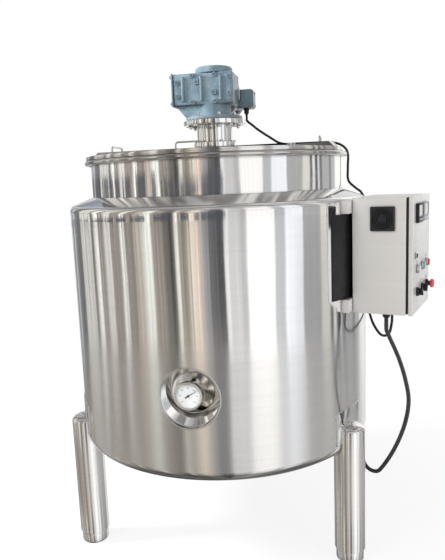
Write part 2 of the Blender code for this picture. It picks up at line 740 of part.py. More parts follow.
def make_gear_covers():
    over = END_COVER_OVERHANG
    right = GEAR_LEFT - TOUCH
    block("gear_end_cover", (right - END_COVER_THICKNESS, GEAR_FRONT - over, GEAR_BOTTOM - over),
          (right, GEAR_BACK + over, GEAR_TOP + over), "blue_grey_paint", 0.002, 1)
    top = GEAR_TOP + TOUCH
    high = top + TOP_COVER_HEIGHT
    points = [(0, top), (TOP_COVER_RADIUS, top), (TOP_COVER_RADIUS, high - 0.006),
              (TOP_COVER_RADIUS - 0.005, high), (0, high)]
    turned("gear_top_cover", profile(points), "blue_grey_paint", 36,
           Matrix.Translation((TOP_COVER_SHIFT, 0, 0)))


def motor_place():
    """Turns a piece made about +Z so that it lies along +Y on the motor's axis."""
    return Matrix.Translation((0, 0, MOTOR_AXIS)) @ Matrix.Rotation(-math.pi / 2, 4, "X")


def finned_outline():
    """The motor's cross-section: cooling fins around a round frame, as pairs."""
    step = math.tau / MOTOR_FINS
    root = MOTOR_RADIUS - MOTOR_FIN_HEIGHT
    points = []
    for fin in range(MOTOR_FINS):
        for share, radius in ((0.0, MOTOR_RADIUS), (0.28, MOTOR_RADIUS), (0.40, root), (0.88, root)):
            turn = (fin + share) * step
            points.append((radius * math.sin(turn), radius * math.cos(turn)))
    return points


def make_motor():
    start = GEAR_BACK + TOUCH
    disc = start + MOTOR_FLANGE_THICKNESS
    points = [(0, start), (MOTOR_FLANGE_RADIUS, start), (MOTOR_FLANGE_RADIUS, disc), (0, disc)]
    turned("motor_flange", profile(points), "cast_aluminium", 36, motor_place())
    body = disc + TOUCH
    end = body + MOTOR_LENGTH
    tip = end + COWL_LENGTH
    points = [(0, end), (COWL_RADIUS, end), (COWL_RADIUS, tip - COWL_EDGE),
              (COWL_RADIUS - COWL_EDGE, tip), (0, tip)]
    cowl = turned("motor_body", profile(points), "blue_grey_paint", MEDIUM_SIDES, motor_place())
    ribbed = [Vector((x, body, MOTOR_AXIS + z)) for x, z in finned_outline()]
    carve(cowl, extruded("motor_fins", ribbed, (0, MOTOR_LENGTH + TOUCH * 10, 0), "blue_grey_paint"), "UNION")
    box = block("motor_terminal_box",
                (MOTOR_RADIUS - 0.02, MOTOR_BOX_REAR - MOTOR_BOX_WIDTH, MOTOR_BOX_BOTTOM),
                (MOTOR_BOX_RIGHT, MOTOR_BOX_REAR, MOTOR_BOX_TOP), "blue_grey_paint", 0.003)
    around = (MOTOR_RADIUS + TOUCH) / math.cos(math.pi / MEDIUM_SIDES)
    saddle = rod("motor_saddle", (0, 0, MOTOR_AXIS), (0, end, MOTOR_AXIS), around,
                 "blue_grey_paint", MEDIUM_SIDES)
    carve(box, saddle)
    clear = rod("flange_saddle", (0, 0, MOTOR_AXIS), (0, disc + TOUCH, MOTOR_AXIS),
                MOTOR_FLANGE_RADIUS + 0.002, "blue_grey_paint", MEDIUM_SIDES)
    carve(box, clear)


def make_agitator():
    """Drive shaft and anchor stirrer inside the vessel."""
    rod("agitator_shaft", (0, 0, SHAFT_END), (0, 0, PEDESTAL_TOP), SHAFT_RADIUS, "polished_steel", 24)
    half = ANCHOR_HALF_WIDTH
    inner = half - ANCHOR_BAR
    bend = ANCHOR_BEND
    low = ANCHOR_BOTTOM
    high = low + ANCHOR_BAR
    outer = rounded([(-half, 0, ANCHOR_TOP), (-half, 0, low), (0, 0, low - ANCHOR_SAG),
                     (half, 0, low), (half, 0, ANCHOR_TOP)], [bend, 0, bend], 5)
    within = rounded([(inner, 0, ANCHOR_TOP), (inner, 0, high), (0, 0, high - ANCHOR_SAG),
                      (-inner, 0, high), (-inner, 0, ANCHOR_TOP)],
                     [bend - ANCHOR_BAR, 0, bend - ANCHOR_BAR], 5)
    thick = Vector((0, ANCHOR_THICKNESS / 2, 0))
    anchor = extruded("agitator_anchor", [p - thick for p in outer + within], 2 * thick, "polished_steel")
    cross = block("anchor_cross", (-half + 0.01, -ANCHOR_THICKNESS / 2, ANCHOR_CROSS),
                  (half - 0.01, ANCHOR_THICKNESS / 2, ANCHOR_CROSS + ANCHOR_BAR), "polished_steel")
    carve(anchor, cross, "UNION")
    reach = ANCHOR_HUB_HALF
    hubs = [rod("hub", (0, 0, z - reach), (0, 0, z + reach), ANCHOR_HUB_RADIUS, "polished_steel", 24)
            for z in (low + 0.012, ANCHOR_CROSS + ANCHOR_BAR / 2)]
    carve(anchor, joined("anchor_hubs", hubs), "UNION")
    bore = rod("anchor_bore", (0, 0, SHAFT_END - 0.1), (0, 0, ANCHOR_TOP), SHAFT_RADIUS + TOUCH,
               "polished_steel", 24)
    carve(anchor, bore)


# Legs

def dome(radius, height):
    """Half of a flattened dome over the leg's shoulder, from its edge to its middle, as pairs."""
    turns = [math.radians(30 * step) for step in range(3)]
    edge = [(radius * math.cos(turn), LEG_SHOULDER + height * math.sin(turn)) for turn in turns]
    return [*edge, (0, LEG_SHOULDER + height)]


def make_leg(name, azimuth, envelope, pad_skin):
    """Tube with a domed top, notched over the jacket's edge, welded to a curved backing pad."""
    floor = LEG_BOTTOM + LEG_WALL
    inside = dome(LEG_RADIUS - LEG_WALL, LEG_DOME - LEG_WALL)[::-1]
    outline = profile([(0, LEG_BOTTOM), (LEG_RADIUS, LEG_BOTTOM), *dome(LEG_RADIUS, LEG_DOME),
                       *inside, (LEG_RADIUS - LEG_WALL, floor), (0, floor)])
    place = Matrix.Translation(polar(JACKET_RADIUS, azimuth, 0))
    leg = turned("leg_" + name, outline, "brushed_steel", MEDIUM_SIDES, place)
    shape = [(-PAD_HALF_WIDTH, PAD_BOTTOM), (PAD_HALF_WIDTH, PAD_BOTTOM),
             (PAD_HALF_WIDTH, PAD_TOP), (-PAD_HALF_WIDTH, PAD_TOP)]
    turn = Matrix.Rotation(math.radians(azimuth), 4, "Z")
    flat = [turn @ Vector((x, -JACKET_RADIUS + 0.03, z)) for x, z in shape]
    pad = extruded("pad_" + name, flat, turn @ Vector((0, -0.06, 0)), "brushed_steel")
    carve(pad, pad_skin, "INTERSECT")
    carve(leg, pad, "UNION")
    return carve(leg, envelope)


def make_foot(name, azimuth):
    high = LEG_BOTTOM - TOUCH
    points = [(0, 0), (FOOT_RADIUS - FOOT_EDGE, 0), (FOOT_RADIUS, FOOT_EDGE), (FOOT_RADIUS, high - 0.004),
              (FOOT_RADIUS - 0.004, high), (0, high)]
    return turned("foot_" + name, profile(points), "brushed_steel", MEDIUM_SIDES,
                  Matrix.Translation(polar(JACKET_RADIUS, azimuth, 0)))


def make_legs():
    envelope = jacket_envelope("leg_notch", TOUCH)
    skin = profile([(0, PAD_BOTTOM - 0.05), (JACKET_RADIUS + PAD_THICKNESS, PAD_BOTTOM - 0.05),
                    (JACKET_RADIUS + PAD_THICKNESS, PAD_TOP + 0.05), (0, PAD_TOP + 0.05)])
    pad_skin = turned("pad_skin", skin, "brushed_steel")
    for name, azimuth in LEG_AZIMUTHS.items():
        make_leg(name, azimuth, envelope, pad_skin)
        make_foot(name, azimuth)


# Thermometer

def pocket_place(x, z, y):
    """Turns a piece made about +Z so that +Z points out of the tank's front at a place."""
    return Matrix.Translation((x, y, z)) @ Matrix.Rotation(math.pi / 2, 4, "X")


def make_pocket():
    """A polished dish let into the jacket, its rim following the round wall."""
    deep = -POCKET_DEPTH
    outer = profile([(POCKET_RADIUS, 0.02), (POCKET_RADIUS, -0.012),
                     (POCKET_FLOOR_RADIUS, deep), (0, deep)], [0.012, 0.02], 2)
    pocket = turned("gauge_pocket", walled(outer, POCKET_WALL), "polished_steel", 32,
                    pocket_place(POCKET_X, POCKET_Z, -JACKET_RADIUS))
    trim = turned("pocket_trim", profile([(0, POCKET_Z - 0.2), (JACKET_RADIUS + 0.001, POCKET_Z - 0.2),
                                          (JACKET_RADIUS + 0.001, POCKET_Z + 0.2), (0, POCKET_Z + 0.2)]),
                  "polished_steel")
    return carve(pocket, trim, "INTERSECT")


def make_thermometer():
    x = POCKET_X + DIAL_SHIFT_X
    z = POCKET_Z + DIAL_SHIFT_Z
    front = -JACKET_RADIUS + DIAL_RECESS
    place = pocket_place(x, z, front)
    face = -0.004
    lip = DIAL_RADIUS - DIAL_BEZEL
    floor = -(POCKET_DEPTH - POCKET_WALL - DIAL_RECESS) + TOUCH
    points = [(0, floor), (STEM_RADIUS, floor), (STEM_RADIUS, -DIAL_CASE_DEPTH),
              (DIAL_RADIUS - 0.004, -DIAL_CASE_DEPTH), (DIAL_RADIUS, -DIAL_CASE_DEPTH + 0.004),
              (DIAL_RADIUS, -0.002), (DIAL_RADIUS - 0.002, 0), (lip, 0), (lip, face - 0.005),
              (0, face - 0.005)]
    turned("thermometer_case", profile(points), "polished_steel", 32, place)
    back = face - 0.005 + TOUCH
    points = [(0, back), (lip - TOUCH, back), (lip - TOUCH, back + 0.0015), (0, back + 0.0015)]
    turned("thermometer_dial", profile(points), "white_enamel", MEDIUM_SIDES, place)
    over = back + 0.0015 + TOUCH
    needle = [(-0.0030, -0.0120), (0.0030, -0.0120), (0.0016, 0.0),
              (0.0004, 0.0330), (-0.0004, 0.0330), (-0.0016, 0.0)]
    turn = Matrix.Rotation(math.radians(-58), 4, "Z")
    flat = [place @ turn @ Vector((u, v, over)) for u, v in needle]
    extruded("thermometer_pointer", flat, (0, -0.0012, 0), "black_plastic")
    low = over + 0.0012 + TOUCH
    points = [(0, low), (lip - TOUCH, low), (lip - TOUCH, low + 0.0015), (0, low + 0.0015)]
    turned("thermometer_glass", profile(points), "clear_glass", MEDIUM_SIDES, place)


# Control cabinet

def cabinet_frame():
    frame = bpy.data.objects.new("cabinet_frame", None)
    bpy.context.collection.objects.link(frame)
    frame.rotation_euler = (0, 0, CABINET_AZIMUTH)
    return frame


def cabinet_box():
    """The cabinet's low and high corners in its own frame, without the door."""
    half = CABINET_WIDTH / 2
    low = Vector((CABINET_SHIFT - half, -CABINET_REAR - CABINET_DEPTH, CABINET_TOP - CABINET_HEIGHT))
    high = Vector((CABINET_SHIFT + half, -CABINET_REAR, CABINET_TOP))
    return low, high


def tray(name, low, high, wall, lip, open_side):
    """A folded box open on one side along Y, -1 for the front and 1 for the back, with a lip."""
    shell = block(name, low, high, "brushed_steel", SHEET_EDGE, 1)
    inside = block(name + "_inside", low + Vector((wall, wall, wall)), high - Vector((wall, wall, wall)),
                   "brushed_steel")
    mouth_low = low + Vector((lip, wall * 2, lip))
    mouth_high = high - Vector((lip, wall * 2, lip))
    if open_side < 0:
        mouth_low.y = low.y - wall
    else:
        mouth_high.y = high.y + wall
    mouth = block(name + "_mouth", mouth_low, mouth_high, "brushed_steel")
    carve(shell, inside)
    carve(shell, mouth)
    return [shell, inside, mouth]


def make_cabinet(frame):
    low, high = cabinet_box()
    pieces = tray("cabinet_body", low, high, CABINET_WALL, CABINET_LIP, -1)
    y, x = door_hinge_line()
    knuckles = []
    for z in (high.z - DOOR_HINGE_INSET, low.z + DOOR_HINGE_INSET):
        outline = [Vector((x + v - 2 * TOUCH, y - u, z))
                   for u, v in hinge_outline(DOOR_HINGE_RADIUS, CABINET_LEAF, HINGE_LEAF_THICKNESS)]
        knuckles.append(extruded("knuckle", outline, (0, 0, -DOOR_HINGE_LENGTH), "brushed_steel"))
    tool = joined("cabinet_knuckles", knuckles)
    carve(pieces[0], tool, "UNION")
    put_under([*pieces, tool], frame)


def door_hinge_line():
    """The door's hinge line in the cabinet's frame, as y and x."""
    low, high = cabinet_box()
    return low.y - GASKET_THICKNESS / 2, high.x + DOOR_HINGE_RADIUS + TOUCH


def make_door():
    """Folded door on two outside hinges, with the gasket that seals it to the cabinet."""
    low, high = cabinet_box()
    back = low.y - GASKET_THICKNESS - TOUCH
    door_low = Vector((low.x, back - DOOR_THICKNESS, low.z))
    door_high = Vector((high.x, back, high.z))
    pieces = tray("cabinet_door", door_low, door_high, DOOR_WALL, DOOR_WALL, 1)
    y, x = door_hinge_line()
    knuckles = []
    for z in (high.z - DOOR_HINGE_INSET, low.z + DOOR_HINGE_INSET):
        outline = [Vector((x + v - 2 * TOUCH, y + u, z + TOUCH))
                   for u, v in hinge_outline(DOOR_HINGE_RADIUS, DOOR_LEAF, HINGE_LEAF_THICKNESS)]
        knuckles.append(extruded("knuckle", outline, (0, 0, DOOR_HINGE_LENGTH), "brushed_steel"))
    tool = joined("door_knuckles", knuckles)
    carve(pieces[0], tool, "UNION")
    gap = GASKET_INSET
    seal = block("door_gasket", (low.x + gap, door_low.y + DOOR_WALL + TOUCH, low.z + gap),
                 (high.x - gap, low.y - TOUCH, high.z - gap), "black_rubber")
    within = gap + GASKET_WIDTH
    seal_hole = block("gasket_hole", (low.x + within, low.y - 0.05, low.z + within),
                      (high.x - within, low.y + 0.05, high.z - within), "black_rubber")
    carve(seal, seal_hole)
    return [*pieces, tool, seal, seal_hole]


def door_face():
    low, high = cabinet_box()
    return low.y - GASKET_THICKNESS - DOOR_THICKNESS - 2 * TOUCH


def knob(name, column, drop, outline, finish_name):
    """A round control turned about its own axis and seated on the door's face."""
    place = pocket_place(CABINET_SHIFT + column, CABINET_TOP - drop, door_face())
    return turned(name, profile(outline), finish_name, SMALL_SIDES, place)


def make_displays():
    face = door_face()
    panels = []
    across = DISPLAY_WIDTH / 2
    up = DISPLAY_HEIGHT / 2
    for name, column in DISPLAY_PLACES.items():
        x = CABINET_SHIFT + column
        z = CABINET_TOP - DISPLAY_DROP
        finish_name = "black_plastic" if name == "temperature_display" else "grey_plastic"
        panels.append(block(name, (x - across, face - DISPLAY_PROUD, z - up),
                            (x + across, face, z + up), finish_name, PANEL_EDGE, 1))
    return panels


def make_controls():
    """Lamp and buttons in the upper row; two selectors and the emergency stop in the lower one."""
    r = CONTROL_RADIUS
    push = [(0, 0), (r, 0), (r, 0.004), (r * 0.8, 0.006), (r * 0.8, 0.011), (r * 0.68, 0.012), (0, 0.012)]
    key = [(0, 0), (r, 0), (r, 0.006), (r * 0.7, 0.008), (r * 0.7, 0.020), (0, 0.020)]
    head = STOP_HEAD_RADIUS
    top = STOP_HEIGHT
    mushroom = [(0, 0), (r, 0), (r, 0.005), (r * 0.6, 0.008), (r * 0.6, top - 0.012), (head, top - 0.009),
                (head, top - 0.004), (head * 0.75, top - 0.001), (0, top)]
    left, middle, right = CONTROL_COLUMNS
    upper, lower = CONTROL_DROPS
    return [knob("signal_lamp", left, upper, push, "teal_plastic"),
            knob("start_button", middle, upper, push, "green_plastic"),
            knob("stop_button", right, upper, push, "red_plastic"),
            knob("heating_selector", left, lower, key, "black_plastic"),
            knob("mixer_selector", middle, lower, key, "black_plastic"),
            knob("emergency_stop", right, lower, mushroom, "red_plastic")]


def make_lock():
    face = door_face()
    size = LOCK_SIZE / 2
    x = CABINET_SHIFT + LOCK_PLACE
    z = CABINET_TOP - LOCK_DROP
    return block("door_lock", (x - size, face - LOCK_PROUD, z - size), (x + size, face, z + size),
                 "grey_plastic", PANEL_EDGE, 1)


def hang_door(frame):
    """The door, its gasket and all that is mounted on it turn about the door's hinge line."""
    y, x = door_hinge_line()
    pieces = [*make_door(), *make_displays(), *make_controls(), make_lock()]
    hang("door_hinge", (x, y, CABINET_TOP - CABINET_HEIGHT / 2), pieces, frame)


def make_grille(frame):
    """Guard plate of the cabinet's ventilator, with rings around a hub."""
    low, high = cabinet_box()
    side = low.x - TOUCH
    y = high.y - GRILLE_CENTRE_DEPTH
    z = CABINET_TOP - GRILLE_CENTRE_DROP
    half = GRILLE_SIZE / 2
    plate = block("fan_grille", (side - GRILLE_THICKNESS, y - half, z - half), (side, y + half, z + half),
                  "black_plastic", 0.002, 1)
    rings = []
    place = Matrix.Translation((side - GRILLE_THICKNESS, y, z)) @ Matrix.Rotation(-math.pi / 2, 4, "Y")
    for radius in (0.014, 0.022, 0.030):
        wide = radius + 0.005
        outline = profile([(radius, -0.005), (wide, -0.005), (wide, 0.01), (radius, 0.01)])
        rings.append(turned("groove", outline, "black_plastic", 24, place))
    tool = joined("grille_grooves", rings)
    carve(plate, tool)
    put_under([plate, tool], frame)


def make_cabinet_inside(frame):
    """Mounting plate on the rear wall with its switchgear."""
    low, high = cabinet_box()
    back = high.y - CABINET_WALL - TOUCH
    front = back - PLATE_STANDOFF - PLATE_THICKNESS
    plate = block("mounting_plate", (low.x + PLATE_MARGIN, front, low.z + PLATE_MARGIN),
                  (high.x - PLATE_MARGIN, front + PLATE_THICKNESS, high.z - PLATE_MARGIN), "grey_paint")
    inset = PLATE_POST_INSET
    posts = [rod("post", (x, front + 0.001, z), (x, back, z), PLATE_POST_RADIUS, "grey_paint")
             for x in (low.x + inset, high.x - inset) for z in (low.z + inset, high.z - inset)]
    tool = joined("plate_posts", posts)
    carve(plate, tool, "UNION")
    face = front - TOUCH
    rail = face - RAIL_THICKNESS
    rail_low = low.z + RAIL_RISE
    gear = block("switchgear", (low.x + RAIL_INSET, rail, rail_low),
                 (high.x - RAIL_INSET, face, rail_low + RAIL_HEIGHT), "grey_plastic")
    middle = rail_low + RAIL_HEIGHT / 2
    half = UNIT_HEIGHT / 2
    nose = UNIT_NOSE / 2
    outline = [(half, rail + 0.002), (half, face - UNIT_SHOULDER), (nose, face - UNIT_SHOULDER),
               (nose, face - UNIT_DEPTH), (-nose, face - UNIT_DEPTH), (-nose, face - UNIT_SHOULDER),
               (-half, face - UNIT_SHOULDER), (-half, rail + 0.002)]
    start = low.x + RAIL_INSET + UNIT_INSET
    flat = [Vector((start, y, middle + rise)) for rise, y in outline]
    run = CABINET_WIDTH - 2 * (RAIL_INSET + UNIT_INSET)
    units = extruded("switchgear_units", flat, (run, 0, 0), "grey_plastic")
    carve(gear, units, "UNION")
    put_under([plate, tool, gear, units], frame)


def make_brackets(frame):
    """Two folded channels that stand the cabinet off the round jacket."""
    low, high = cabinet_box()
    envelope = jacket_envelope("bracket_saddle", TOUCH)
    places = {"cabinet_bracket_upper": high.z - BRACKET_INSET - BRACKET_HEIGHT,
              "cabinet_bracket_lower": low.z + BRACKET_INSET}
    for name, z in places.items():
        start = Vector((low.x - BRACKET_OVERHANG, -CABINET_REAR + TOUCH, z))
        end = Vector((high.x - BRACKET_OVERHANG / 2, -CABINET_REAR + BRACKET_REACH, z + BRACKET_HEIGHT))
        rail = block(name, start, end, "brushed_steel")
        put_under([rail], frame)
        carve(rail, envelope)
    return envelope


# Cables and glands

def gland(name, place, radius, frame=None):
    """Cable gland turned about +Z: it starts on its wall and ends where the cable enters."""
    points = [(0, 0), (radius, 0), (radius, GLAND_LENGTH * 0.35), (radius * 0.85, GLAND_LENGTH * 0.4),
              (radius * 0.85, GLAND_LENGTH * 0.75), (radius * 0.6, GLAND_LENGTH), (0, GLAND_LENGTH)]
    piece = turned(name, profile(points), "black_plastic", SMALL_SIDES, place)
    if frame is not None:
        put_under([piece], frame)
    return piece


def cabinet_point(x, y, z):
    return Matrix.Rotation(CABINET_AZIMUTH, 4, "Z") @ Vector((x, y, z))


# Places of the glands: on the terminal box, and on the cabinet's floor from its middle and rear
MOTOR_GLAND = Vector((MOTOR_BOX_RIGHT - 0.026, MOTOR_BOX_REAR - 0.050, MOTOR_BOX_BOTTOM - TOUCH))
CABINET_MOTOR_GLAND = (0.0, -CABINET_REAR - 0.1055)
CABINET_HEATER_GLAND = (-0.060, -CABINET_REAR - 0.0995)
HEATER_GLAND_HEIGHT = HEATER_BOX_BOTTOM + 0.021

# Routes between the glands, points chosen by hand
MOTOR_ROUTE = ((0.128, 0.110, 1.560), (0.152, 0.104, 1.540), (0.197, 0.098, 1.509),
               (0.238, 0.096, 1.485), (0.300, 0.096, 1.4786), (0.380, 0.096, 1.4786),
               (0.432, 0.097, 1.4786), (0.470, 0.100, 1.465), (0.490, 0.102, 1.437),
               (0.490, 0.1015, 1.385), (0.4915, 0.100, 1.335), (0.516, 0.103, 1.307),
               (0.541, 0.107, 1.285), (0.5505, 0.110, 1.247), (0.550, 0.110, 1.135),
               (0.550, 0.108, 1.005), (0.553, 0.085, 0.915), (0.560, 0.030, 0.865),
               (0.564, -0.035, 0.847), (0.575, -0.105, 0.820), (0.598, -0.165, 0.797),
               (0.622, -0.197, 0.810))
HEATER_ROUTE = ((0.618, -0.245, 0.815), (0.650, -0.254, 0.740), (0.672, -0.258, 0.665),
                (0.683, -0.258, 0.590), (0.672, -0.238, 0.497), (0.643, -0.205, 0.397),
                (0.607, -0.160, 0.307), (0.582, -0.142, 0.274), (0.548, -0.110, 0.277),
                (0.525, -0.045, 0.310))


def make_cables(frame):
    down = Matrix.Rotation(math.pi, 4, "X")
    drop = Vector((0, 0, -1))
    outwards = Vector((1, 0, 0))
    gland("motor_gland", Matrix.Translation(MOTOR_GLAND) @ down, GLAND_RADIUS)
    bottom = CABINET_TOP - CABINET_HEIGHT - TOUCH
    big = GLAND_RADIUS * 1.35
    for name, place, radius in (("cabinet_gland_motor", CABINET_MOTOR_GLAND, GLAND_RADIUS),
                                ("cabinet_gland_heater", CABINET_HEATER_GLAND, big)):
        gland(name, Matrix.Translation((*place, bottom)) @ down, radius, frame)
    seat = Vector((HEATER_BOX_RADIUS + HEATER_BOX_SIZE / 2 + TOUCH, 0, HEATER_GLAND_HEIGHT))
    gland("heater_gland", Matrix.Translation(seat) @ Matrix.Rotation(math.pi / 2, 4, "Y"), big)
    reach = GLAND_LENGTH + TOUCH
    start = MOTOR_GLAND + drop * reach
    end = cabinet_point(*CABINET_MOTOR_GLAND, bottom) + drop * reach
    route = cable_route(start, drop, MOTOR_ROUTE, end, drop, MOTOR_CABLE_RADIUS)
    bent_bar("motor_cable", route, MOTOR_CABLE_RADIUS, "black_rubber")
    start = cabinet_point(*CABINET_HEATER_GLAND, bottom) + drop * reach
    end = seat + outwards * reach
    route = cable_route(start, drop, HEATER_ROUTE, end, outwards, HEATER_CABLE_RADIUS)
    bent_bar("heater_cable", route, HEATER_CABLE_RADIUS, "black_rubber")


def make_heater_box():
    """Terminal box of the heating elements, under the jacket's bottom."""
    half = HEATER_BOX_SIZE / 2
    box = block("heater_box", (HEATER_BOX_RADIUS - half, -half, HEATER_BOX_BOTTOM),
                (HEATER_BOX_RADIUS + half, half, JACKET_BOTTOM_CORNER), "brushed_steel", 0.003, 1)
    return carve(box, jacket_envelope("heater_saddle", TOUCH))


def main():
    clear_objects()
    make_jacket()
    make_vessel()
    make_rim()
    make_outlet()
    make_bridge()
    make_front_lid()
    make_rear_lid()
    make_bridge_handles()
    make_pedestal()
    make_gear_housing()
    make_gear_covers()
    make_motor()
    make_agitator()
    make_legs()
    make_pocket()
    make_thermometer()
    frame = cabinet_frame()
    make_cabinet(frame)
    hang_door(frame)
    make_grille(frame)
    make_cabinet_inside(frame)
    make_brackets(frame)
    make_heater_box()
    make_cables(frame)


main()
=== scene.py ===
import json
import math

import bpy
from mathutils import Matrix, Vector

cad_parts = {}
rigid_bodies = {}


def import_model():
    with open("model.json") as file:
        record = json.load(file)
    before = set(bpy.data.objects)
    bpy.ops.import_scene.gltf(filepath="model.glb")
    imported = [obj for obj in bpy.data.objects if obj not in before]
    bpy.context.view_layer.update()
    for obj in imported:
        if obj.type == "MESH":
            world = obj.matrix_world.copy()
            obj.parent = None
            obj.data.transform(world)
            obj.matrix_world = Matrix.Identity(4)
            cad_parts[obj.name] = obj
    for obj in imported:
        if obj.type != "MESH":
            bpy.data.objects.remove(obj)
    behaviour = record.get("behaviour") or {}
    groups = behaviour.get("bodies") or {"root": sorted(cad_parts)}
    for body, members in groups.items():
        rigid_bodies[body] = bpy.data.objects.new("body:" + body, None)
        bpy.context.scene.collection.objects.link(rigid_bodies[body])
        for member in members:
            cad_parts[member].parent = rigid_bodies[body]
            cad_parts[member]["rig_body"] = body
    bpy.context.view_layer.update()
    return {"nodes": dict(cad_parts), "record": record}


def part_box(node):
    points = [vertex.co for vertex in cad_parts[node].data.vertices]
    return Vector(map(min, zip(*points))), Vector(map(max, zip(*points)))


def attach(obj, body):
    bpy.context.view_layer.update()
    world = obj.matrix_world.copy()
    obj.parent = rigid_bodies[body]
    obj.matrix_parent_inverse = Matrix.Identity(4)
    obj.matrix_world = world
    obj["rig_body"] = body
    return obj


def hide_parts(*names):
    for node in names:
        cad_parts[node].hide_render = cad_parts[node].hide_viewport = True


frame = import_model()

print("frame loaded:", len(frame["nodes"]), "nodes")


# Small tools used all through

def unselectAll():
    bpy.ops.object.select_all(action="DESELECT")


def pick(piece):
    unselectAll()
    piece.select_set(True)
    bpy.context.view_layer.objects.active = piece
    return piece


def settle(piece):
    pick(piece)
    bpy.ops.object.transform_apply(location=True, rotation=True, scale=True)
    return piece


def finishWith(piece, kind, **values):  # adds a modifier and applies it
    modifier = piece.modifiers.new(kind.lower(), kind)
    for key, value in values.items():
        setattr(modifier, key, value)
    pick(piece)
    bpy.ops.object.modifier_apply(modifier=modifier.name)
    return piece


def smoothBy(piece, angle):
    pick(piece)
    bpy.ops.object.shade_smooth_by_angle(angle=math.radians(angle))
    return piece


def softenEdges(piece, width, segments, angle=30):
    return finishWith(piece, "BEVEL", width=width, segments=segments, limit_method="ANGLE",
                      angle_limit=math.radians(angle), harden_normals=False)


def cutBy(piece, cutter, operation="DIFFERENCE"):
    finishWith(piece, "BOOLEAN", object=cutter, operation=operation, solver="EXACT")
    bpy.data.objects.remove(cutter, do_unlink=True)
    return piece


def joinAll(name, pieces):
    pick(pieces[0])
    for piece in pieces[1:]:
        piece.select_set(True)
    if len(pieces) > 1:
        bpy.ops.object.join()
    joined = bpy.context.object
    joined.name = name
    return joined


def copyOf(piece):
    twin = bpy.data.objects.new(piece.name, piece.data.copy())
    bpy.context.collection.objects.link(twin)
    return twin


def dress(piece, finish, body="root", replaces=()):
    piece.data.materials.clear()
    piece.data.materials.append(finishes[finish])
    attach(piece, body)
    if replaces:
        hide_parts(*replaces)
    return piece


def roundedPath(corners, radii, steps):  # straight runs with round corners, in a plane
    corners = [Vector(corner) for corner in corners]
    path = [corners[0]]
    for before, corner, after, radius in zip(corners, corners[1:], corners[2:], radii):
        come = (before - corner).normalized()
        leave = (after - corner).normalized()
        half = come.angle(leave) / 2
        centre = corner + (come + leave).normalized() * (radius / math.sin(half))
        start = corner + come * (radius / math.tan(half))
        end = corner + leave * (radius / math.tan(half))
        for step in range(steps + 1):
            path.append(centre + (start.lerp(end, step / steps) - centre).normalized() * radius)
    return path + [corners[-1]]


def curveAlong(name, path, radius, resolution, widths):  # a round cord, its widths point by point
    data = bpy.data.curves.new(name, "CURVE")
    data.dimensions = "3D"
    data.bevel_depth = radius
    data.bevel_resolution = resolution
    data.use_fill_caps = True
    spline = data.splines.new("POLY")
    spline.points.add(len(path) - 1)
    for point, place, width in zip(spline.points, path, widths or [1] * len(path)):
        point.co = (*place, 1)
        point.radius = width
    piece = bpy.data.objects.new(name, data)
    bpy.context.collection.objects.link(piece)
    return piece


def lathe(name, rings, sides, ends, place=None):  # rings of radius and height, turned about the axis
    unselectAll()
    radius, height = rings[0]
    bpy.ops.mesh.primitive_circle_add(vertices=sides, radius=radius, location=(0, 0, height))
    piece = bpy.context.object
    piece.name = name
    settle(piece)
    bpy.ops.object.mode_set(mode="EDIT")
    bpy.ops.mesh.select_all(action="SELECT")
    for (oldRadius, oldHeight), (newRadius, newHeight) in zip(rings, rings[1:]):
        bpy.ops.mesh.extrude_region_move(TRANSFORM_OT_translate={"value": (0, 0, newHeight - oldHeight)})
        ratio = newRadius / oldRadius
        bpy.ops.transform.resize(value=(ratio, ratio, 1), center_override=(0, 0, newHeight))
    if ends != "open":
        bpy.ops.mesh.select_all(action="DESELECT")
        bpy.ops.mesh.select_non_manifold()
        if ends == "joined":
            bpy.ops.mesh.bridge_edge_loops()
        else:
            bpy.ops.mesh.fill_holes(sides=0)
    bpy.ops.mesh.select_all(action="SELECT")
    bpy.ops.mesh.normals_make_consistent(inside=False)
    bpy.ops.object.mode_set(mode="OBJECT")
    if place is not None:
        piece.matrix_world = place
        settle(piece)
    return piece


def lift(node):  # a CAD node's mesh as a clean piece of its own, ready to be bevelled
    source = frame["nodes"][node]
    piece = bpy.data.objects.new(node + "Skin", source.data.copy())
    bpy.context.collection.objects.link(piece)
    pick(piece)
    bpy.ops.object.mode_set(mode="EDIT")
    bpy.ops.mesh.select_all(action="SELECT")
    bpy.ops.mesh.remove_doubles(threshold=0.00001)
    bpy.ops.mesh.dissolve_limited(angle_limit=math.radians(1))
    bpy.ops.object.mode_set(mode="OBJECT")
    return piece


def bodyOf(node):
    return frame["nodes"][node]["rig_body"]


def asNode(piece, node, finish, angle=38):  # the finished piece takes a CAD node's place
    smoothBy(piece, angle)
    return dress(piece, finish, bodyOf(node), [node])


def refine(node, finish, edge, segments=2, angle=36):  # the node's own form with softened edges
    piece = softenEdges(lift(node), edge, segments)
    return asNode(piece, node, finish, angle)


# Camera: the eye's place and the way it looks, in metres and degrees

view = {"eye": (0.4696, -2.3079, 1.3477), "heading": 11.35, "pitch": 9.144, "roll": -2.309,
        "lens": 39.21}


def makeCamera():
    bpy.ops.object.camera_add()
    camera = bpy.context.object
    camera.name = "photoCamera"
    camera.data.sensor_width = 36
    camera.data.lens = view["lens"]
    heading = Matrix.Rotation(math.radians(view["heading"]), 4, "Z")
    pitch = Matrix.Rotation(math.radians(90 - view["pitch"]), 4, "X")
    roll = Matrix.Rotation(math.radians(view["roll"]), 4, "Z")
    camera.matrix_world = Matrix.Translation(view["eye"]) @ heading @ pitch @ roll
    bpy.context.scene.camera = camera


makeCamera()
print("camera placed")


# Nodes and groups that the finishes share

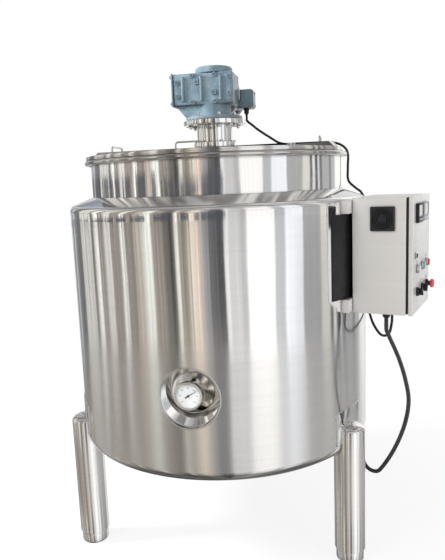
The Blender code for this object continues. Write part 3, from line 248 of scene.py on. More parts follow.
def addNode(tree, kind, inputs=None, **settings):
    node = tree.nodes.new("ShaderNode" + kind)
    for key, value in settings.items():
        setattr(node, key, value)
    for key, value in (inputs or {}).items():
        if isinstance(value, bpy.types.NodeSocket):
            tree.links.new(value, node.inputs[key])
        else:
            node.inputs[key].default_value = value
    return node


def mathNode(tree, operation, first, second, clamp=False):
    return addNode(tree, "Math", {0: first, 1: second}, operation=operation, use_clamp=clamp).outputs[0]


def spread(tree, value, low, high, fromLow=0.0, fromHigh=1.0):
    node = addNode(tree, "MapRange", {"Value": value, "From Min": fromLow, "From Max": fromHigh,
                                      "To Min": low, "To Max": high})
    return node.outputs["Result"]


def blendColour(tree, share, first, second):
    node = addNode(tree, "Mix", data_type="RGBA", blend_type="MIX")
    for socket, value in ((node.inputs[0], share), (node.inputs[6], first), (node.inputs[7], second)):
        if isinstance(value, bpy.types.NodeSocket):
            tree.links.new(value, socket)
        else:
            socket.default_value = value
    return node.outputs[2]


def newGroup(name, inputs, outputs):  # every group puts out plain values
    group = bpy.data.node_groups.new(name, "ShaderNodeTree")
    for label, (kind, value) in inputs.items():
        socket = group.interface.new_socket(name=label, in_out="INPUT", socket_type="NodeSocket" + kind)
        socket.default_value = value
    for label in outputs:
        group.interface.new_socket(name=label, in_out="OUTPUT", socket_type="NodeSocketFloat")
    return group, group.nodes.new("NodeGroupInput"), group.nodes.new("NodeGroupOutput")


def makeGrain():  # long fine scratches of a brushed sheet, and the softer bands between them
    inputs = {"Stretch": ("Vector", (8, 8, 700)), "Detail": ("Float", 4.0)}
    group, given, result = newGroup("sheetGrain", inputs, ("Grain", "Bands"))
    place = addNode(group, "TexCoord").outputs["Object"]
    fine = addNode(group, "VectorMath", {0: place, 1: given.outputs["Stretch"]}, operation="MULTIPLY")
    scratches = addNode(group, "TexNoise", {"Vector": fine.outputs[0], "Scale": 1.0, "Roughness": 0.7,
                                            "Detail": given.outputs["Detail"]})
    coarse = addNode(group, "VectorMath", {0: fine.outputs[0], 1: (0.12, 0.12, 0.12)}, operation="MULTIPLY")
    bands = addNode(group, "TexNoise", {"Vector": coarse.outputs[0], "Scale": 1.0, "Detail": 2.0})
    group.links.new(scratches.outputs["Fac"], result.inputs["Grain"])
    group.links.new(bands.outputs["Fac"], result.inputs["Bands"])
    return group


def makeHandling():  # finger marks and wiped patches, and the slow waves of a thin sheet
    group, given, result = newGroup("handling", {"Scale": ("Float", 6.0)}, ("Smudges", "Waves"))
    place = addNode(group, "TexCoord").outputs["Object"]
    patches = addNode(group, "TexNoise", {"Vector": place, "Scale": given.outputs["Scale"], "Detail": 5.0,
                                          "Distortion": 0.8})
    group.links.new(spread(group, patches.outputs["Fac"], 0, 1, 0.42, 0.68), result.inputs["Smudges"])
    slow = mathNode(group, "MULTIPLY", given.outputs["Scale"], 0.7)
    waves = addNode(group, "TexNoise", {"Vector": place, "Scale": slow, "Detail": 1.5})
    group.links.new(waves.outputs["Fac"], result.inputs["Waves"])
    return group


def makeWornEdge():  # a mask along convex edges, broken up by noise
    inputs = {"Width": ("Float", 0.002), "Scale": ("Float", 60.0)}
    group, given, result = newGroup("wornEdge", inputs, ("Edge",))
    rounded = addNode(group, "Bevel", {"Radius": given.outputs["Width"]}, samples=4)
    flat = addNode(group, "NewGeometry").outputs["Normal"]
    turned = addNode(group, "VectorMath", {0: rounded.outputs[0], 1: flat}, operation="DOT_PRODUCT")
    edge = spread(group, turned.outputs["Value"], 1, 0, 0.86, 0.995)
    place = addNode(group, "TexCoord").outputs["Object"]
    chips = addNode(group, "TexNoise", {"Vector": place, "Scale": given.outputs["Scale"], "Detail": 4.0})
    broken = spread(group, chips.outputs["Fac"], 0, 1, 0.45, 0.6)
    group.links.new(mathNode(group, "MULTIPLY", edge, broken, clamp=True), result.inputs["Edge"])
    return group


def makeCasting():  # the pebbled skin of a painted or bare casting
    group, given, result = newGroup("castingSkin", {"Scale": ("Float", 900.0)}, ("Height", "Shade"))
    place = addNode(group, "TexCoord").outputs["Object"]
    grit = addNode(group, "TexNoise", {"Vector": place, "Scale": given.outputs["Scale"], "Detail": 3.0})
    slow = mathNode(group, "MULTIPLY", given.outputs["Scale"], 0.09)
    lumps = addNode(group, "TexNoise", {"Vector": place, "Scale": slow, "Detail": 2.0})
    total = mathNode(group, "ADD", grit.outputs["Fac"], lumps.outputs["Fac"])
    group.links.new(mathNode(group, "MULTIPLY", total, 0.5), result.inputs["Height"])
    group.links.new(lumps.outputs["Fac"], result.inputs["Shade"])
    return group


def makePaintedShade():  # a mask of the corners and gaps, where painted shade darkens the colour
    group, given, result = newGroup("paintedCreviceShade", {"Reach": ("Float", 0.01)}, ("Depth",))
    closed = addNode(group, "AmbientOcclusion", {"Distance": given.outputs["Reach"]}, samples=6)
    group.links.new(spread(group, closed.outputs["AO"], 1, 0, 0.25, 0.85), result.inputs["Depth"])
    return group


grainGroup = makeGrain()
handlingGroup = makeHandling()
wornGroup = makeWornEdge()
castingGroup = makeCasting()
paintedShadeGroup = makePaintedShade()


def useGroup(tree, group, inputs):
    node = tree.nodes.new("ShaderNodeGroup")
    node.node_tree = group
    for key, value in inputs.items():
        node.inputs[key].default_value = value
    return node


def newFinish(name, colour, metallic, roughness, **more):
    material = bpy.data.materials.new(name)
    material.use_nodes = True
    shader = material.node_tree.nodes["Principled BSDF"]
    shader.inputs["Base Color"].default_value = (*colour, 1)
    shader.inputs["Metallic"].default_value = metallic
    shader.inputs["Roughness"].default_value = roughness
    for key, value in more.items():
        shader.inputs[key.replace("_", " ")].default_value = value
    material.diffuse_color = (*colour, 1)
    return material, material.node_tree, shader


def shaded(tree, colour, reach, strength):  # a colour with painted shade darkening its crevices
    paintedShade = useGroup(tree, paintedShadeGroup, {"Reach": reach})
    share = mathNode(tree, "MULTIPLY", paintedShade.outputs["Depth"], strength)
    return blendColour(tree, share, colour, (0.02, 0.02, 0.022, 1))


def bump(tree, shader, height, distance, strength):
    node = addNode(tree, "Bump", {"Height": height, "Distance": distance, "Strength": strength})
    tree.links.new(node.outputs["Normal"], shader.inputs["Normal"])
    return node


# Finishes

# the shade and deep tones are the same steel darkened: painted shade and painted dark reflection in its
# colour
steelTones = {"bright": (0.86, 0.85, 0.835), "satin": (0.80, 0.785, 0.76), "shade": (0.70, 0.68, 0.65),
              "deep": (0.58, 0.56, 0.54)}


def heightOf(tree):
    place = addNode(tree, "TexCoord").outputs["Object"]
    return addNode(tree, "SeparateXYZ", {0: place}).outputs["Z"]


def makeSteel(name, tone, roughness, spreadBy, stretch, smear=0.0, wave=0.0, waveScale=4.0, metal=1.0,
              paintedShade=0.75, dull=None, collar=None):
    material, tree, shader = newFinish(name, steelTones[tone], metal, roughness)
    grain = useGroup(tree, grainGroup, {"Stretch": stretch, "Detail": 4.0})
    marks = useGroup(tree, handlingGroup, {"Scale": waveScale})
    dark = tuple(0.93 * part for part in steelTones[tone])
    tint = blendColour(tree, grain.outputs["Bands"], (*dark, 1), (*steelTones[tone], 1))
    # painted shade: the sheet's crevices darkened in its colour
    tree.links.new(shaded(tree, tint, 0.012, paintedShade), shader.inputs["Base Color"])
    rough = spread(tree, grain.outputs["Grain"], roughness - spreadBy, roughness + spreadBy, 0.3, 0.7)
    rough = mathNode(tree, "ADD", rough, spread(tree, marks.outputs["Smudges"], 0.0, spreadBy * 1.2))
    if dull:  # below a height the sheet is brushed duller
        height, extra = dull
        duller = spread(tree, heightOf(tree), extra, 0, height - 0.05, height + 0.05)
        rough = mathNode(tree, "ADD", rough, duller)
    if collar:  # above a height the sheet is left polished
        height, share = collar
        brushed = spread(tree, heightOf(tree), 1, 0, height - 0.002, height + 0.002)
        rough = mathNode(tree, "MULTIPLY", rough, spread(tree, brushed, share, 1))
        tree.links.new(mathNode(tree, "MULTIPLY", brushed, smear), shader.inputs["Anisotropic"])
    tree.links.new(rough, shader.inputs["Roughness"])
    if smear:  # drawn out along the tank's height
        shader.inputs["Anisotropic"].default_value = smear
        shader.inputs["Anisotropic Rotation"].default_value = 0.25
        around = addNode(tree, "Tangent", direction_type="RADIAL", axis="Z")
        tree.links.new(around.outputs[0], shader.inputs["Tangent"])
    scratches = {"Height": grain.outputs["Grain"], "Distance": 0.00002, "Strength": 0.5}
    scratch = addNode(tree, "Bump", scratches)
    if wave:
        slow = addNode(tree, "Bump", {"Height": marks.outputs["Waves"], "Distance": wave})
        tree.links.new(slow.outputs[0], scratch.inputs["Normal"])
    tree.links.new(scratch.outputs[0], shader.inputs["Normal"])
    return material


def makePaint(name, colour, roughness, dust=(0.36, 0.40, 0.42), chipped=(0.30, 0.34, 0.36)):
    material, tree, shader = newFinish(name, colour, 0.0, roughness, Coat_Weight=0.35, Coat_Roughness=0.22)
    skin = useGroup(tree, castingGroup, {"Scale": 700.0})
    marks = useGroup(tree, handlingGroup, {"Scale": 14.0})
    worn = useGroup(tree, wornGroup, {"Width": 0.0016, "Scale": 90.0})
    deep = tuple(0.80 * part for part in colour)
    pale = tuple(min(1.0, 1.16 * part) for part in colour)
    tint = blendColour(tree, skin.outputs["Shade"], (*deep, 1), (*pale, 1))
    dusty = blendColour(tree, mathNode(tree, "MULTIPLY", marks.outputs["Smudges"], 0.22), tint, (*dust, 1))
    final = blendColour(tree, mathNode(tree, "MULTIPLY", worn.outputs["Edge"], 0.7), dusty, (*chipped, 1))
    # painted shade: the crevices round bosses, ribs and screws darkened in the colour
    tree.links.new(shaded(tree, final, 0.009, 0.9), shader.inputs["Base Color"])
    tree.links.new(spread(tree, marks.outputs["Smudges"], roughness - 0.06, roughness + 0.12),
                   shader.inputs["Roughness"])
    bump(tree, shader, skin.outputs["Height"], 0.0005, 0.55)
    return material


def makePlastic(name, colour, roughness, grit=1400.0, gloss=0.0, shine=0.5):
    material, tree, shader = newFinish(name, colour, 0.0, roughness, Coat_Weight=gloss, Coat_Roughness=0.08,
                                       Specular_IOR_Level=shine)
    skin = useGroup(tree, castingGroup, {"Scale": grit})
    marks = useGroup(tree, handlingGroup, {"Scale": 25.0})
    worn = useGroup(tree, wornGroup, {"Width": 0.0006, "Scale": 260.0})
    pale = tuple(min(1.0, 1.25 * part + 0.02) for part in colour)
    bare = tuple(min(1.0, 1.6 * part + 0.05) for part in colour)
    mottled = mathNode(tree, "MULTIPLY", skin.outputs["Shade"], 0.5)
    tint = blendColour(tree, mottled, (*colour, 1), (*pale, 1))
    rubbed = blendColour(tree, mathNode(tree, "MULTIPLY", worn.outputs["Edge"], 0.4), tint, (*bare, 1))
    tree.links.new(rubbed, shader.inputs["Base Color"])
    tree.links.new(spread(tree, marks.outputs["Smudges"], roughness - 0.05, roughness + 0.10),
                   shader.inputs["Roughness"])
    bump(tree, shader, skin.outputs["Height"], 0.00006, 0.6)
    return material


def makeGlass(name):
    material, tree, shader = newFinish(name, (1, 1, 1), 0.0, 0.03, Transmission_Weight=1.0, IOR=1.45)
    marks = useGroup(tree, handlingGroup, {"Scale": 30.0})
    tree.links.new(spread(tree, marks.outputs["Smudges"], 0.02, 0.07), shader.inputs["Roughness"])
    return material


def makeCast(name, colour, roughness):
    material, tree, shader = newFinish(name, colour, 1.0, roughness)
    skin = useGroup(tree, castingGroup, {"Scale": 1100.0})
    marks = useGroup(tree, handlingGroup, {"Scale": 18.0})
    deep = tuple(0.82 * part for part in colour)
    tint = blendColour(tree, skin.outputs["Shade"], (*deep, 1), (*colour, 1))
    tree.links.new(tint, shader.inputs["Base Color"])
    tree.links.new(spread(tree, marks.outputs["Smudges"], roughness - 0.06, roughness + 0.1),
                   shader.inputs["Roughness"])
    bump(tree, shader, skin.outputs["Height"], 0.0003, 0.6)
    return material


finishes = {
    "jacket": makeSteel("jacketSteel", "bright", 0.10, 0.025, (9, 9, 900), smear=0.95, wave=0.006,
                        waveScale=2.2, dull=(0.82, 0.11), collar=(1.2365, 0.35)),
    "dish": makeSteel("dishSteel", "bright", 0.09, 0.03, (14, 14, 700), wave=0.010, waveScale=3.5),
    "mirror": makeSteel("mirrorSteel", "bright", 0.06, 0.025, (40, 40, 60), wave=0.003, waveScale=5.0),
    # the lid and rim take the darker tones and full crevice darkening: painted shade and painted dark
    # reflection
    "lid": makeSteel("lidSteel", "shade", 0.10, 0.04, (700, 8, 8), wave=0.003, waveScale=3.0, paintedShade=1.0),
    "rim": makeSteel("rimSteel", "deep", 0.07, 0.03, (40, 40, 60), wave=0.002, waveScale=5.0, paintedShade=1.0),
    "vessel": makeSteel("vesselSteel", "bright", 0.16, 0.05, (9, 9, 600), wave=0.004, waveScale=2.5,
                        metal=0.8),
    "tube": makeSteel("tubeSteel", "bright", 0.08, 0.025, (60, 60, 900), wave=0.0015, waveScale=6.0),
    "rod": makeSteel("rodSteel", "shade", 0.20, 0.05, (60, 60, 900)),
    "sheet": makeSteel("sheetSteel", "bright", 0.40, 0.07, (20, 20, 1100), wave=0.002, waveScale=5.0,
                       metal=0.60),
    "door": makeSteel("doorSteel", "bright", 0.32, 0.06, (20, 20, 1100), wave=0.001, waveScale=5.0,
                      metal=0.62),
    "weld": makeSteel("weldSteel", "bright", 0.28, 0.08, (300, 300, 300), paintedShade=0.0),
    "bolt": makeSteel("boltSteel", "satin", 0.28, 0.08, (400, 400, 400)),
    "paint": makePaint("gearPaint", (0.135, 0.205, 0.250), 0.33),
    "cast": makeCast("castAluminium", (0.78, 0.76, 0.71), 0.36),
    "black": makePlastic("blackPlastic", (0.014, 0.0145, 0.017), 0.42, shine=0.28),
    "grey": makePlastic("greyPlastic", (0.33, 0.34, 0.36), 0.42),
    "rubber": makePlastic("blackRubber", (0.014, 0.014, 0.015), 0.62, 2200.0, shine=0.3),
    # a black sheet behind the cabinet that stands for shade: painted shade
    "mat": makePlastic("paintedShadeBlack", (0.006, 0.006, 0.007), 0.42, 300.0, shine=0.28),
    "teal": makePlastic("tealPlastic", (0.10, 0.42, 0.42), 0.25, 500.0, 0.6),
    "red": makePlastic("redPlastic", (0.62, 0.05, 0.06), 0.30, 500.0, 0.5),
    "powder": makePlastic("greyPowder", (0.62, 0.63, 0.64), 0.50),
    "enamel": makePlastic("whiteEnamel", (0.60, 0.61, 0.61), 0.34, 300.0),
    "ink": makePlastic("printedInk", (0.03, 0.03, 0.035), 0.5),
    "glass": makeGlass("clearGlass"),
    "conduit": makePlastic("blackConduit", (0.020, 0.021, 0.024), 0.34, 900.0, 0.2),
    "screen": makePlastic("displayWindow", (0.016, 0.018, 0.022), 0.10, 300.0, 0.8),
}
print("finishes made:", len(finishes))


# Places and sizes that several pieces share, read from the frame

def spanOf(node):  # a CAD node's lowest and highest corner
    return [Vector(corner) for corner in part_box(node)]


def lowOf(node):
    return spanOf(node)[0]


def highOf(node):
    return spanOf(node)[1]


tank = {
    "sides": 720,  # the tank is a mirror, so its round sheets are cut fine
    "touch": 0.0003,
    "sheet": 0.003,
    "jacketRadius": highOf("jacket_wall").x,
    "neckRadius": highOf("vessel_wall").x,
    "shoulderTop": highOf("jacket_shoulder").z,
    "shoulderSlope": 21,
    "shoulderKnuckle": 0.022,
    "bottomCorner": 0.405,
    "bottomSlope": 8,
    "bottomKnuckle": 0.037,
    "vesselCorner": 0.490,
    "vesselKnuckle": 0.060,
    "outletRadius": 0.0265,
    "cabinetTurn": 73.5,
}


def cabinetTurn():  # turns what is laid out in front of the cabinet to where the cabinet hangs
    return Matrix.Rotation(math.radians(tank["cabinetTurn"]), 4, "Z")


# Cables: the points that the cable passes, listed, with straight ends in the glands

cables = {
    "motorCable": {
        "node": "motor_cable", "radius": 0.0045, "length": 1.405, "finish": "rubber",
        "start": (0.1060, 0.1120, 1.6024), "leave": (0, 0, -1),
        "end": (0.6328, -0.1875, 0.8761), "arrive": (0, 0, -1),
        "points": ((0.128, 0.110, 1.560), (0.152, 0.104, 1.540), (0.197, 0.098, 1.509),
                   (0.238, 0.096, 1.485), (0.300, 0.096, 1.4786), (0.380, 0.096, 1.4786),
                   (0.432, 0.097, 1.4786), (0.470, 0.100, 1.465), (0.490, 0.102, 1.437),
                   (0.490, 0.1015, 1.385), (0.4915, 0.100, 1.335), (0.516, 0.103, 1.307),
                   (0.541, 0.107, 1.285), (0.5505, 0.110, 1.247), (0.550, 0.110, 1.135),
                   (0.550, 0.108, 1.005), (0.553, 0.085, 0.915), (0.560, 0.030, 0.865),
                   (0.564, -0.035, 0.847), (0.575, -0.105, 0.820), (0.598, -0.165, 0.797),
                   (0.622, -0.197, 0.810))},
    "heaterCable": {
        "node": "heater_cable", "radius": 0.0075, "length": 0.871, "finish": "conduit",
        "ribs": 0.0045, "start": (0.6100, -0.2433, 0.8761), "leave": (0, 0, -1),
        "end": (0.4676, 0.0, 0.3310), "arrive": (1, 0, 0),
        "points": ((0.618, -0.245, 0.815), (0.650, -0.254, 0.740), (0.672, -0.258, 0.665),
                   (0.683, -0.258, 0.590), (0.672, -0.238, 0.497), (0.643, -0.205, 0.397),
                   (0.607, -0.160, 0.307), (0.582, -0.142, 0.274), (0.548, -0.110, 0.277),
                   (0.525, -0.045, 0.310))},
}


def curveThrough(points, share):  # a smooth curve's point between the second and third of four
    before, here, there, after = points
    return 0.5 * (2 * here + (there - before) * share
                  + (2 * before - 5 * here + 4 * there - after) * share ** 2
                  + (3 * here - before - 3 * there + after) * share ** 3)


def cablePath(cable):
    spacing = 5 * cable["radius"]
    start, end = Vector(cable["start"]), Vector(cable["end"])
    ends = [start, start + Vector(cable["leave"]) * spacing, *map(Vector, cable["points"]),
            end + Vector(cable["arrive"]) * spacing, end]
    fine = [start]
    for four in zip(ends, ends[1:], ends[2:], ends[3:]):
        fine += [curveThrough(four, step / 6) for step in range(6)]
    return [*fine, ends[-2], end]


def ribbed(path, pitch):  # the path again in short even steps, and how wide the hose is at each
    steps, wide, gone = [path[0]], [1.0], 0.0
    for here, there in zip(path, path[1:]):
        run = (there - here).length
        count = max(1, round(4 * run / pitch))
        for step in range(1, count + 1):
            steps.append(here.lerp(there, step / count))
            wide.append(0.92 + 0.08 * math.cos(2 * math.pi * (gone + run * step / count) / pitch))
        gone += run
    return steps, wide


def makeCable(name, cable):
    path, wide = cablePath(cable), None
    if "ribs" in cable:
        path, wide = ribbed(path, cable["ribs"])
    piece = curveAlong(name, path, cable["radius"], 4, wide)
    dress(piece, cable["finish"], "root", [cable["node"]])
    return piece


for cableName, cable in cables.items():
    makeCable(cableName, cable)
print("cables laid")


# Room: what the polished sheets mirror, and a plain pale floor

room = {
    "walls": (  # where each panel begins, in degrees round the tank from its front, and its tone
        ((-180, (0.90, 0.90, 0.88)), (-160, (0.62, 0.63, 0.64)), (-151, (0.28, 0.32, 0.37)),
         (-147, (0.84, 0.84, 0.84)), (-143, (0.24, 0.27, 0.32)), (-138, (0.66, 0.67, 0.68)),
         (-132, (0.30, 0.31, 0.33)), (-126, (0.22, 0.22, 0.22)), (-117, (0.80, 0.79, 0.75)),
         (-99, (0.22, 0.20, 0.18)), (-95.5, (1.15, 1.14, 1.12)), (-89.5, (0.46, 0.42, 0.38)),
         (-83, (0.92, 0.89, 0.86)), (-76, (0.42, 0.37, 0.34)), (-66.5, (1.12, 1.11, 1.08))),
        ((-62, (0.38, 0.34, 0.31)), (-53, (0.66, 0.60, 0.53)), (-46.5, (1.05, 1.09, 1.02)),
         (-38.7, (0.42, 0.38, 0.34)), (-29.5, (0.20, 0.19, 0.17)), (-25.5, (0.10, 0.095, 0.085)),
         (-21, (1.05, 1.02, 0.95)), (-18, (0.38, 0.35, 0.30)), (-11, (0.88, 0.81, 0.70)),
         (-6, (0.96, 0.80, 0.68)), (-1.7, (0.42, 0.42, 0.42)), (4, (0.16, 0.16, 0.165)),
         (10, (0.095, 0.095, 0.10))),
        ((15, (1.05, 1.05, 1.04)), (18, (0.70, 0.70, 0.71)), (26, (0.56, 0.56, 0.57)),
         (31, (1.18, 1.18, 1.17)), (51.5, (0.58, 0.60, 0.62)), (60, (1.08, 1.11, 1.18))),
        ((75, (0.50, 0.50, 0.51)), (92, (0.84, 0.83, 0.77)), (101, (0.16, 0.16, 0.17)),
         (104.5, (0.95, 0.95, 0.94)), (108, (0.14, 0.14, 0.15)), (112, (0.80, 0.80, 0.80)),
         (115, (0.22, 0.22, 0.23)), (119, (0.52, 0.52, 0.53)), (131, (0.30, 0.31, 0.32)),
         (135, (0.60, 0.61, 0.62)), (144, (1.14, 1.14, 1.12)), (166, (0.80, 0.80, 0.79)))),
    "seam": 0.7,  # half the width of the change from one panel to the next
    "ground": ((-180, (0.55, 0.53, 0.50)), (-150, (0.28, 0.27, 0.26)), (-110, (0.46, 0.44, 0.41)),
               (-80, (0.28, 0.255, 0.23)), (-58, (0.44, 0.40, 0.36)), (-30, (0.31, 0.285, 0.26)),
               (-8, (0.66, 0.60, 0.54)), (6, (0.44, 0.43, 0.42)), (22, (0.80, 0.79, 0.77)),
               (45, (1.00, 0.99, 0.97)), (62, (0.84, 0.84, 0.83)), (75, (0.80, 0.79, 0.78)),
               (94, (0.62, 0.61, 0.60)), (118, (0.58, 0.58, 0.58)), (140, (0.48, 0.48, 0.49)),
               (152, (0.98, 0.98, 0.96))),
    "levels": ((-180, (0.82, 0.82, 0.82)), (-70, (0.84, 0.84, 0.84)), (-20, (1, 1, 1)), (15, (1, 1, 1)),
               (23, (1.17, 1.17, 1.17)), (60, (1.16, 1.16, 1.16)), (75, (0.82, 0.82, 0.82))),
    "streaks": 280,  # fine streaks round the whole room
    "machines": {"count": 46, "gap": (0.44, 0.47), "foot": (-0.036, -0.030), "top": (-0.012, -0.016),
                 "uneven": 0.05, "strength": 0.85},
    "skirting": {"count": 37, "gap": (0.43, 0.46), "foot": (-0.0550, -0.0542), "top": (-0.0515, -0.0505),
                 "uneven": 0.018, "strength": 0.95},
    "darkTone": (0.10, 0.11, 0.13),
    "darkSide": (0.545, 0.55),  # the dark things stand left of here
    "ceiling": (0.66, 0.66, 0.66),
    "ceilingFields": 0.30,  # the tone of its dark fields, as a share
    "ceilingLevels": (0.70, 1.42),  # from the left side to the right
    "soft": 0.62,  # the even light on everything that isn't a mirror
    "floorSize": 60,
    "floorFade": (0.9, 1.8),  # where the floor's shade goes over into plain white
    "clean": 0.86,  # how much of the floor's shade is left out beside the tank
}


def azimuthOf(tree, place):  # 0 to 1 round the tank, with 0.5 in front of it, and the place's three parts
    split = addNode(tree, "SeparateXYZ", {0: place})
    towards = mathNode(tree, "MULTIPLY", split.outputs["Y"], -1)
    turn = mathNode(tree, "ARCTAN2", split.outputs["X"], towards)
    return spread(tree, turn, 0, 1, -math.pi, math.pi), split


def rampOf(tree, share, stops, low, high, way):
    node = tree.nodes.new("ShaderNodeValToRGB")
    ramp = node.color_ramp
    ramp.interpolation = way
    ramp.elements.remove(ramp.elements[1])
    ramp.elements[0].color = (*stops[0][1], 1)
    for azimuth, colour in stops[1:]:
        ramp.elements.new((azimuth - low) / (high - low)).color = (*colour, 1)
    tree.links.new(spread(tree, share, 0, 1, (low + 180) / 360, (high + 180) / 360), node.inputs[0])
    return node.outputs[0]


def panelWalls(tree, share):  # the panels as four ramps, one after another round the tank
    starts = [*(panels[0][0] for panels in room["walls"]), 180]
    walls = None
    for panels, low, high in zip(room["walls"], starts, starts[1:]):
        stops = [panels[0]]
        for before, after in zip(panels, panels[1:]):
            stops += [(after[0] - room["seam"], before[1]), (after[0] + room["seam"], after[1])]
        part = rampOf(tree, share, stops, low, high, "LINEAR")
        past = mathNode(tree, "GREATER_THAN", share, (low + 180) / 360)
        walls = blendColour(tree, past, walls, part) if walls else part
    return walls


def streaksAlong(tree, share, scale, detail):
    turns = mathNode(tree, "MULTIPLY", share, scale)
    return addNode(tree, "TexNoise", {"W": turns, "Scale": 1.0, "Detail": detail, "Roughness": 0.7},
                   noise_dimensions="1D").outputs["Fac"]


def product(tree, *values):
    total = values[0]
    for value in values[1:]:
        total = mathNode(tree, "MULTIPLY", total, value)
    return total


def times(tree, colour, level):
    return addNode(tree, "VectorMath", {0: colour, 1: level}, operation="MULTIPLY").outputs[0]


def darkThings(tree, share, slope, fine):  # machines far off with an uneven top, and a low dark band
    machines, skirting = room["machines"], room["skirting"]
    there = spread(tree, streaksAlong(tree, share, machines["count"], 2.0), 0, 1, *machines["gap"])
    top = mathNode(tree, "SUBTRACT", slope, mathNode(tree, "MULTIPLY", fine, machines["uneven"]))
    over = spread(tree, top, 0, 1, *machines["top"])
    under = spread(tree, slope, 0, 1, *machines["foot"])
    side = spread(tree, share, 1, 0, *room["darkSide"])
    near = spread(tree, streaksAlong(tree, share, skirting["count"], 2.0), 0, 1, *skirting["gap"])
    below = mathNode(tree, "ADD", slope, mathNode(tree, "MULTIPLY", fine, skirting["uneven"]))
    band = product(tree, near, spread(tree, slope, 1, 0, *skirting["top"]),
                   spread(tree, below, 0, 1, *skirting["foot"]), skirting["strength"])
    far = product(tree, there, over, under, machines["strength"])
    return product(tree, mathNode(tree, "MAXIMUM", far, band), side)


def makeRoof(tree, direction):  # pale, with dark fields between its beams
    stretched = times(tree, direction, (1.5, 9, 1))
    beams = addNode(tree, "TexNoise", {"Vector": stretched, "Scale": 1.0, "Distortion": 0.8}).outputs["Fac"]
    dim = tuple(room["ceilingFields"] * part for part in room["ceiling"])
    roof = blendColour(tree, spread(tree, beams, 0, 1, 0.46, 0.54), (*room["ceiling"], 1), (*dim, 1))
    across = addNode(tree, "SeparateXYZ", {0: direction}).outputs["X"]
    return times(tree, roof, spread(tree, across, *room["ceilingLevels"], -0.25, 0.25))


def mirroredRoom(tree):  # everything that a mirror shows, by its direction and slope
    direction = addNode(tree, "TexCoord").outputs["Generated"]
    share, split = azimuthOf(tree, direction)
    flat = addNode(tree, "CombineXYZ", {0: split.outputs["X"], 1: split.outputs["Y"]})
    length = addNode(tree, "VectorMath", {0: flat.outputs[0]}, operation="LENGTH").outputs["Value"]
    slope = mathNode(tree, "DIVIDE", split.outputs["Z"], length)
    fine = streaksAlong(tree, share, room["streaks"], 4.0)
    strength = spread(tree, share, 1, 0.14, 0.50, 0.545)
    streaks = product(tree, spread(tree, fine, -0.85, 0.85, 0.30, 0.70), strength)
    walls = times(tree, panelWalls(tree, share), mathNode(tree, "ADD", streaks, 1))
    walls = blendColour(tree, darkThings(tree, share, slope, fine), walls, (*room["darkTone"], 1))
    ground = rampOf(tree, share, room["ground"], -180, 180, "EASE")
    floorShare = product(tree, spread(tree, slope, 0.85, 0, -0.36, -0.26),
                         spread(tree, slope, 0.35, 1, -0.56, -0.50))
    both = blendColour(tree, floorShare, walls, ground)
    levels = rampOf(tree, share, room["levels"], -180, 180, "LINEAR")
    levels = blendColour(tree, spread(tree, slope, 1, 0, -0.10, -0.06), (1, 1, 1, 1), levels)
    both = times(tree, both, levels)
    both = times(tree, both, spread(tree, slope, 0.25, 1, -1.2, -0.50))
    overhead = spread(tree, split.outputs["Z"], 0, 1, 0.45, 0.70)
    return blendColour(tree, overhead, both, makeRoof(tree, direction))


def makeWorld():
    world = bpy.data.worlds.new("room")
    bpy.context.scene.world = world
    world.use_nodes = True
    tree = world.node_tree
    mirrored = mirroredRoom(tree)
    path = addNode(tree, "LightPath")
    soft = (room["soft"],) * 3
    seen = blendColour(tree, path.outputs["Is Glossy Ray"], (*soft, 1), mirrored)
    plain = blendColour(tree, path.outputs["Is Camera Ray"], seen, (1, 1, 1, 1))
    clear = blendColour(tree, path.outputs["Is Transmission Ray"], plain, (1, 1, 1, 1))
    tree.links.new(clear, tree.nodes["Background"].inputs["Color"])


def makeFloor():  # white away from the tank, and left out of the mirrors, which show the room instead
    bpy.ops.mesh.primitive_plane_add(size=room["floorSize"], location=(0, 0, -0.0005))
    floor = settle(bpy.context.object)
    floor.name = "floor"
    floor.visible_glossy = False
    material = bpy.data.materials.new("floorPale")
    material.use_nodes = True
    tree = material.node_tree
    tree.nodes.remove(tree.nodes["Principled BSDF"])
    place = addNode(tree, "TexCoord").outputs["Object"]
    away = addNode(tree, "VectorMath", {0: place}, operation="LENGTH").outputs["Value"]
    matt = addNode(tree, "BsdfDiffuse", {"Color": (0.95, 0.95, 0.95, 1)})
    glow = addNode(tree, "Emission", {"Color": (1, 1, 1, 1), "Strength": 1.0})
    white = spread(tree, away, room["clean"], 1, *room["floorFade"])
    lit = addNode(tree, "MixShader", {0: white, 1: matt.outputs[0], 2: glow.outputs[0]})
    path = addNode(tree, "LightPath")
    both = addNode(tree, "MixShader", {0: path.outputs["Is Camera Ray"], 1: matt.outputs[0],
                                       2: lit.outputs[0]})
    tree.links.new(both.outputs[0], tree.nodes["Material Output"].inputs["Surface"])
    floor.data.materials.append(material)


lamps = {
    "softKey": {"place": (-2.6, -3.4, 4.2), "aim": (0, 0, 1.0), "size": 2.6, "power": 110},
    "softFill": {"place": (3.6, -2.6, 2.6), "aim": (0, 0, 0.9), "size": 2.4, "power": 45},
    "sideRake": {"place": (-3.2, -0.9, 2.6), "aim": (0, 0, 1.6), "size": 0.7, "power": 260},
}


def makeLamps():  # they light the matt pieces only, so that no sheet mirrors a bright square
    for name, lamp in lamps.items():
        bpy.ops.object.light_add(type="AREA", location=lamp["place"])
        light = bpy.context.object
        light.name = name
        light.data.size = lamp["size"]
        light.data.energy = lamp["power"]
        light.visible_glossy = False
        light.rotation_euler = (Vector(lamp["aim"]) - light.location).to_track_quat("-Z", "Y").to_euler()
    bpy.context.scene.view_settings.view_transform = "Standard"


makeWorld()
makeFloor()
makeLamps()
print("room ready")


# Tank: jacket, vessel, rim and outlet, turned on one axis

def bentLine(points, radii, steps=8):  # radius and height pairs, with round bends between the runs
    line = roundedPath([(radius, 0, height) for radius, height in points], radii, steps)
    return [(point.x, point.z) for point in line]


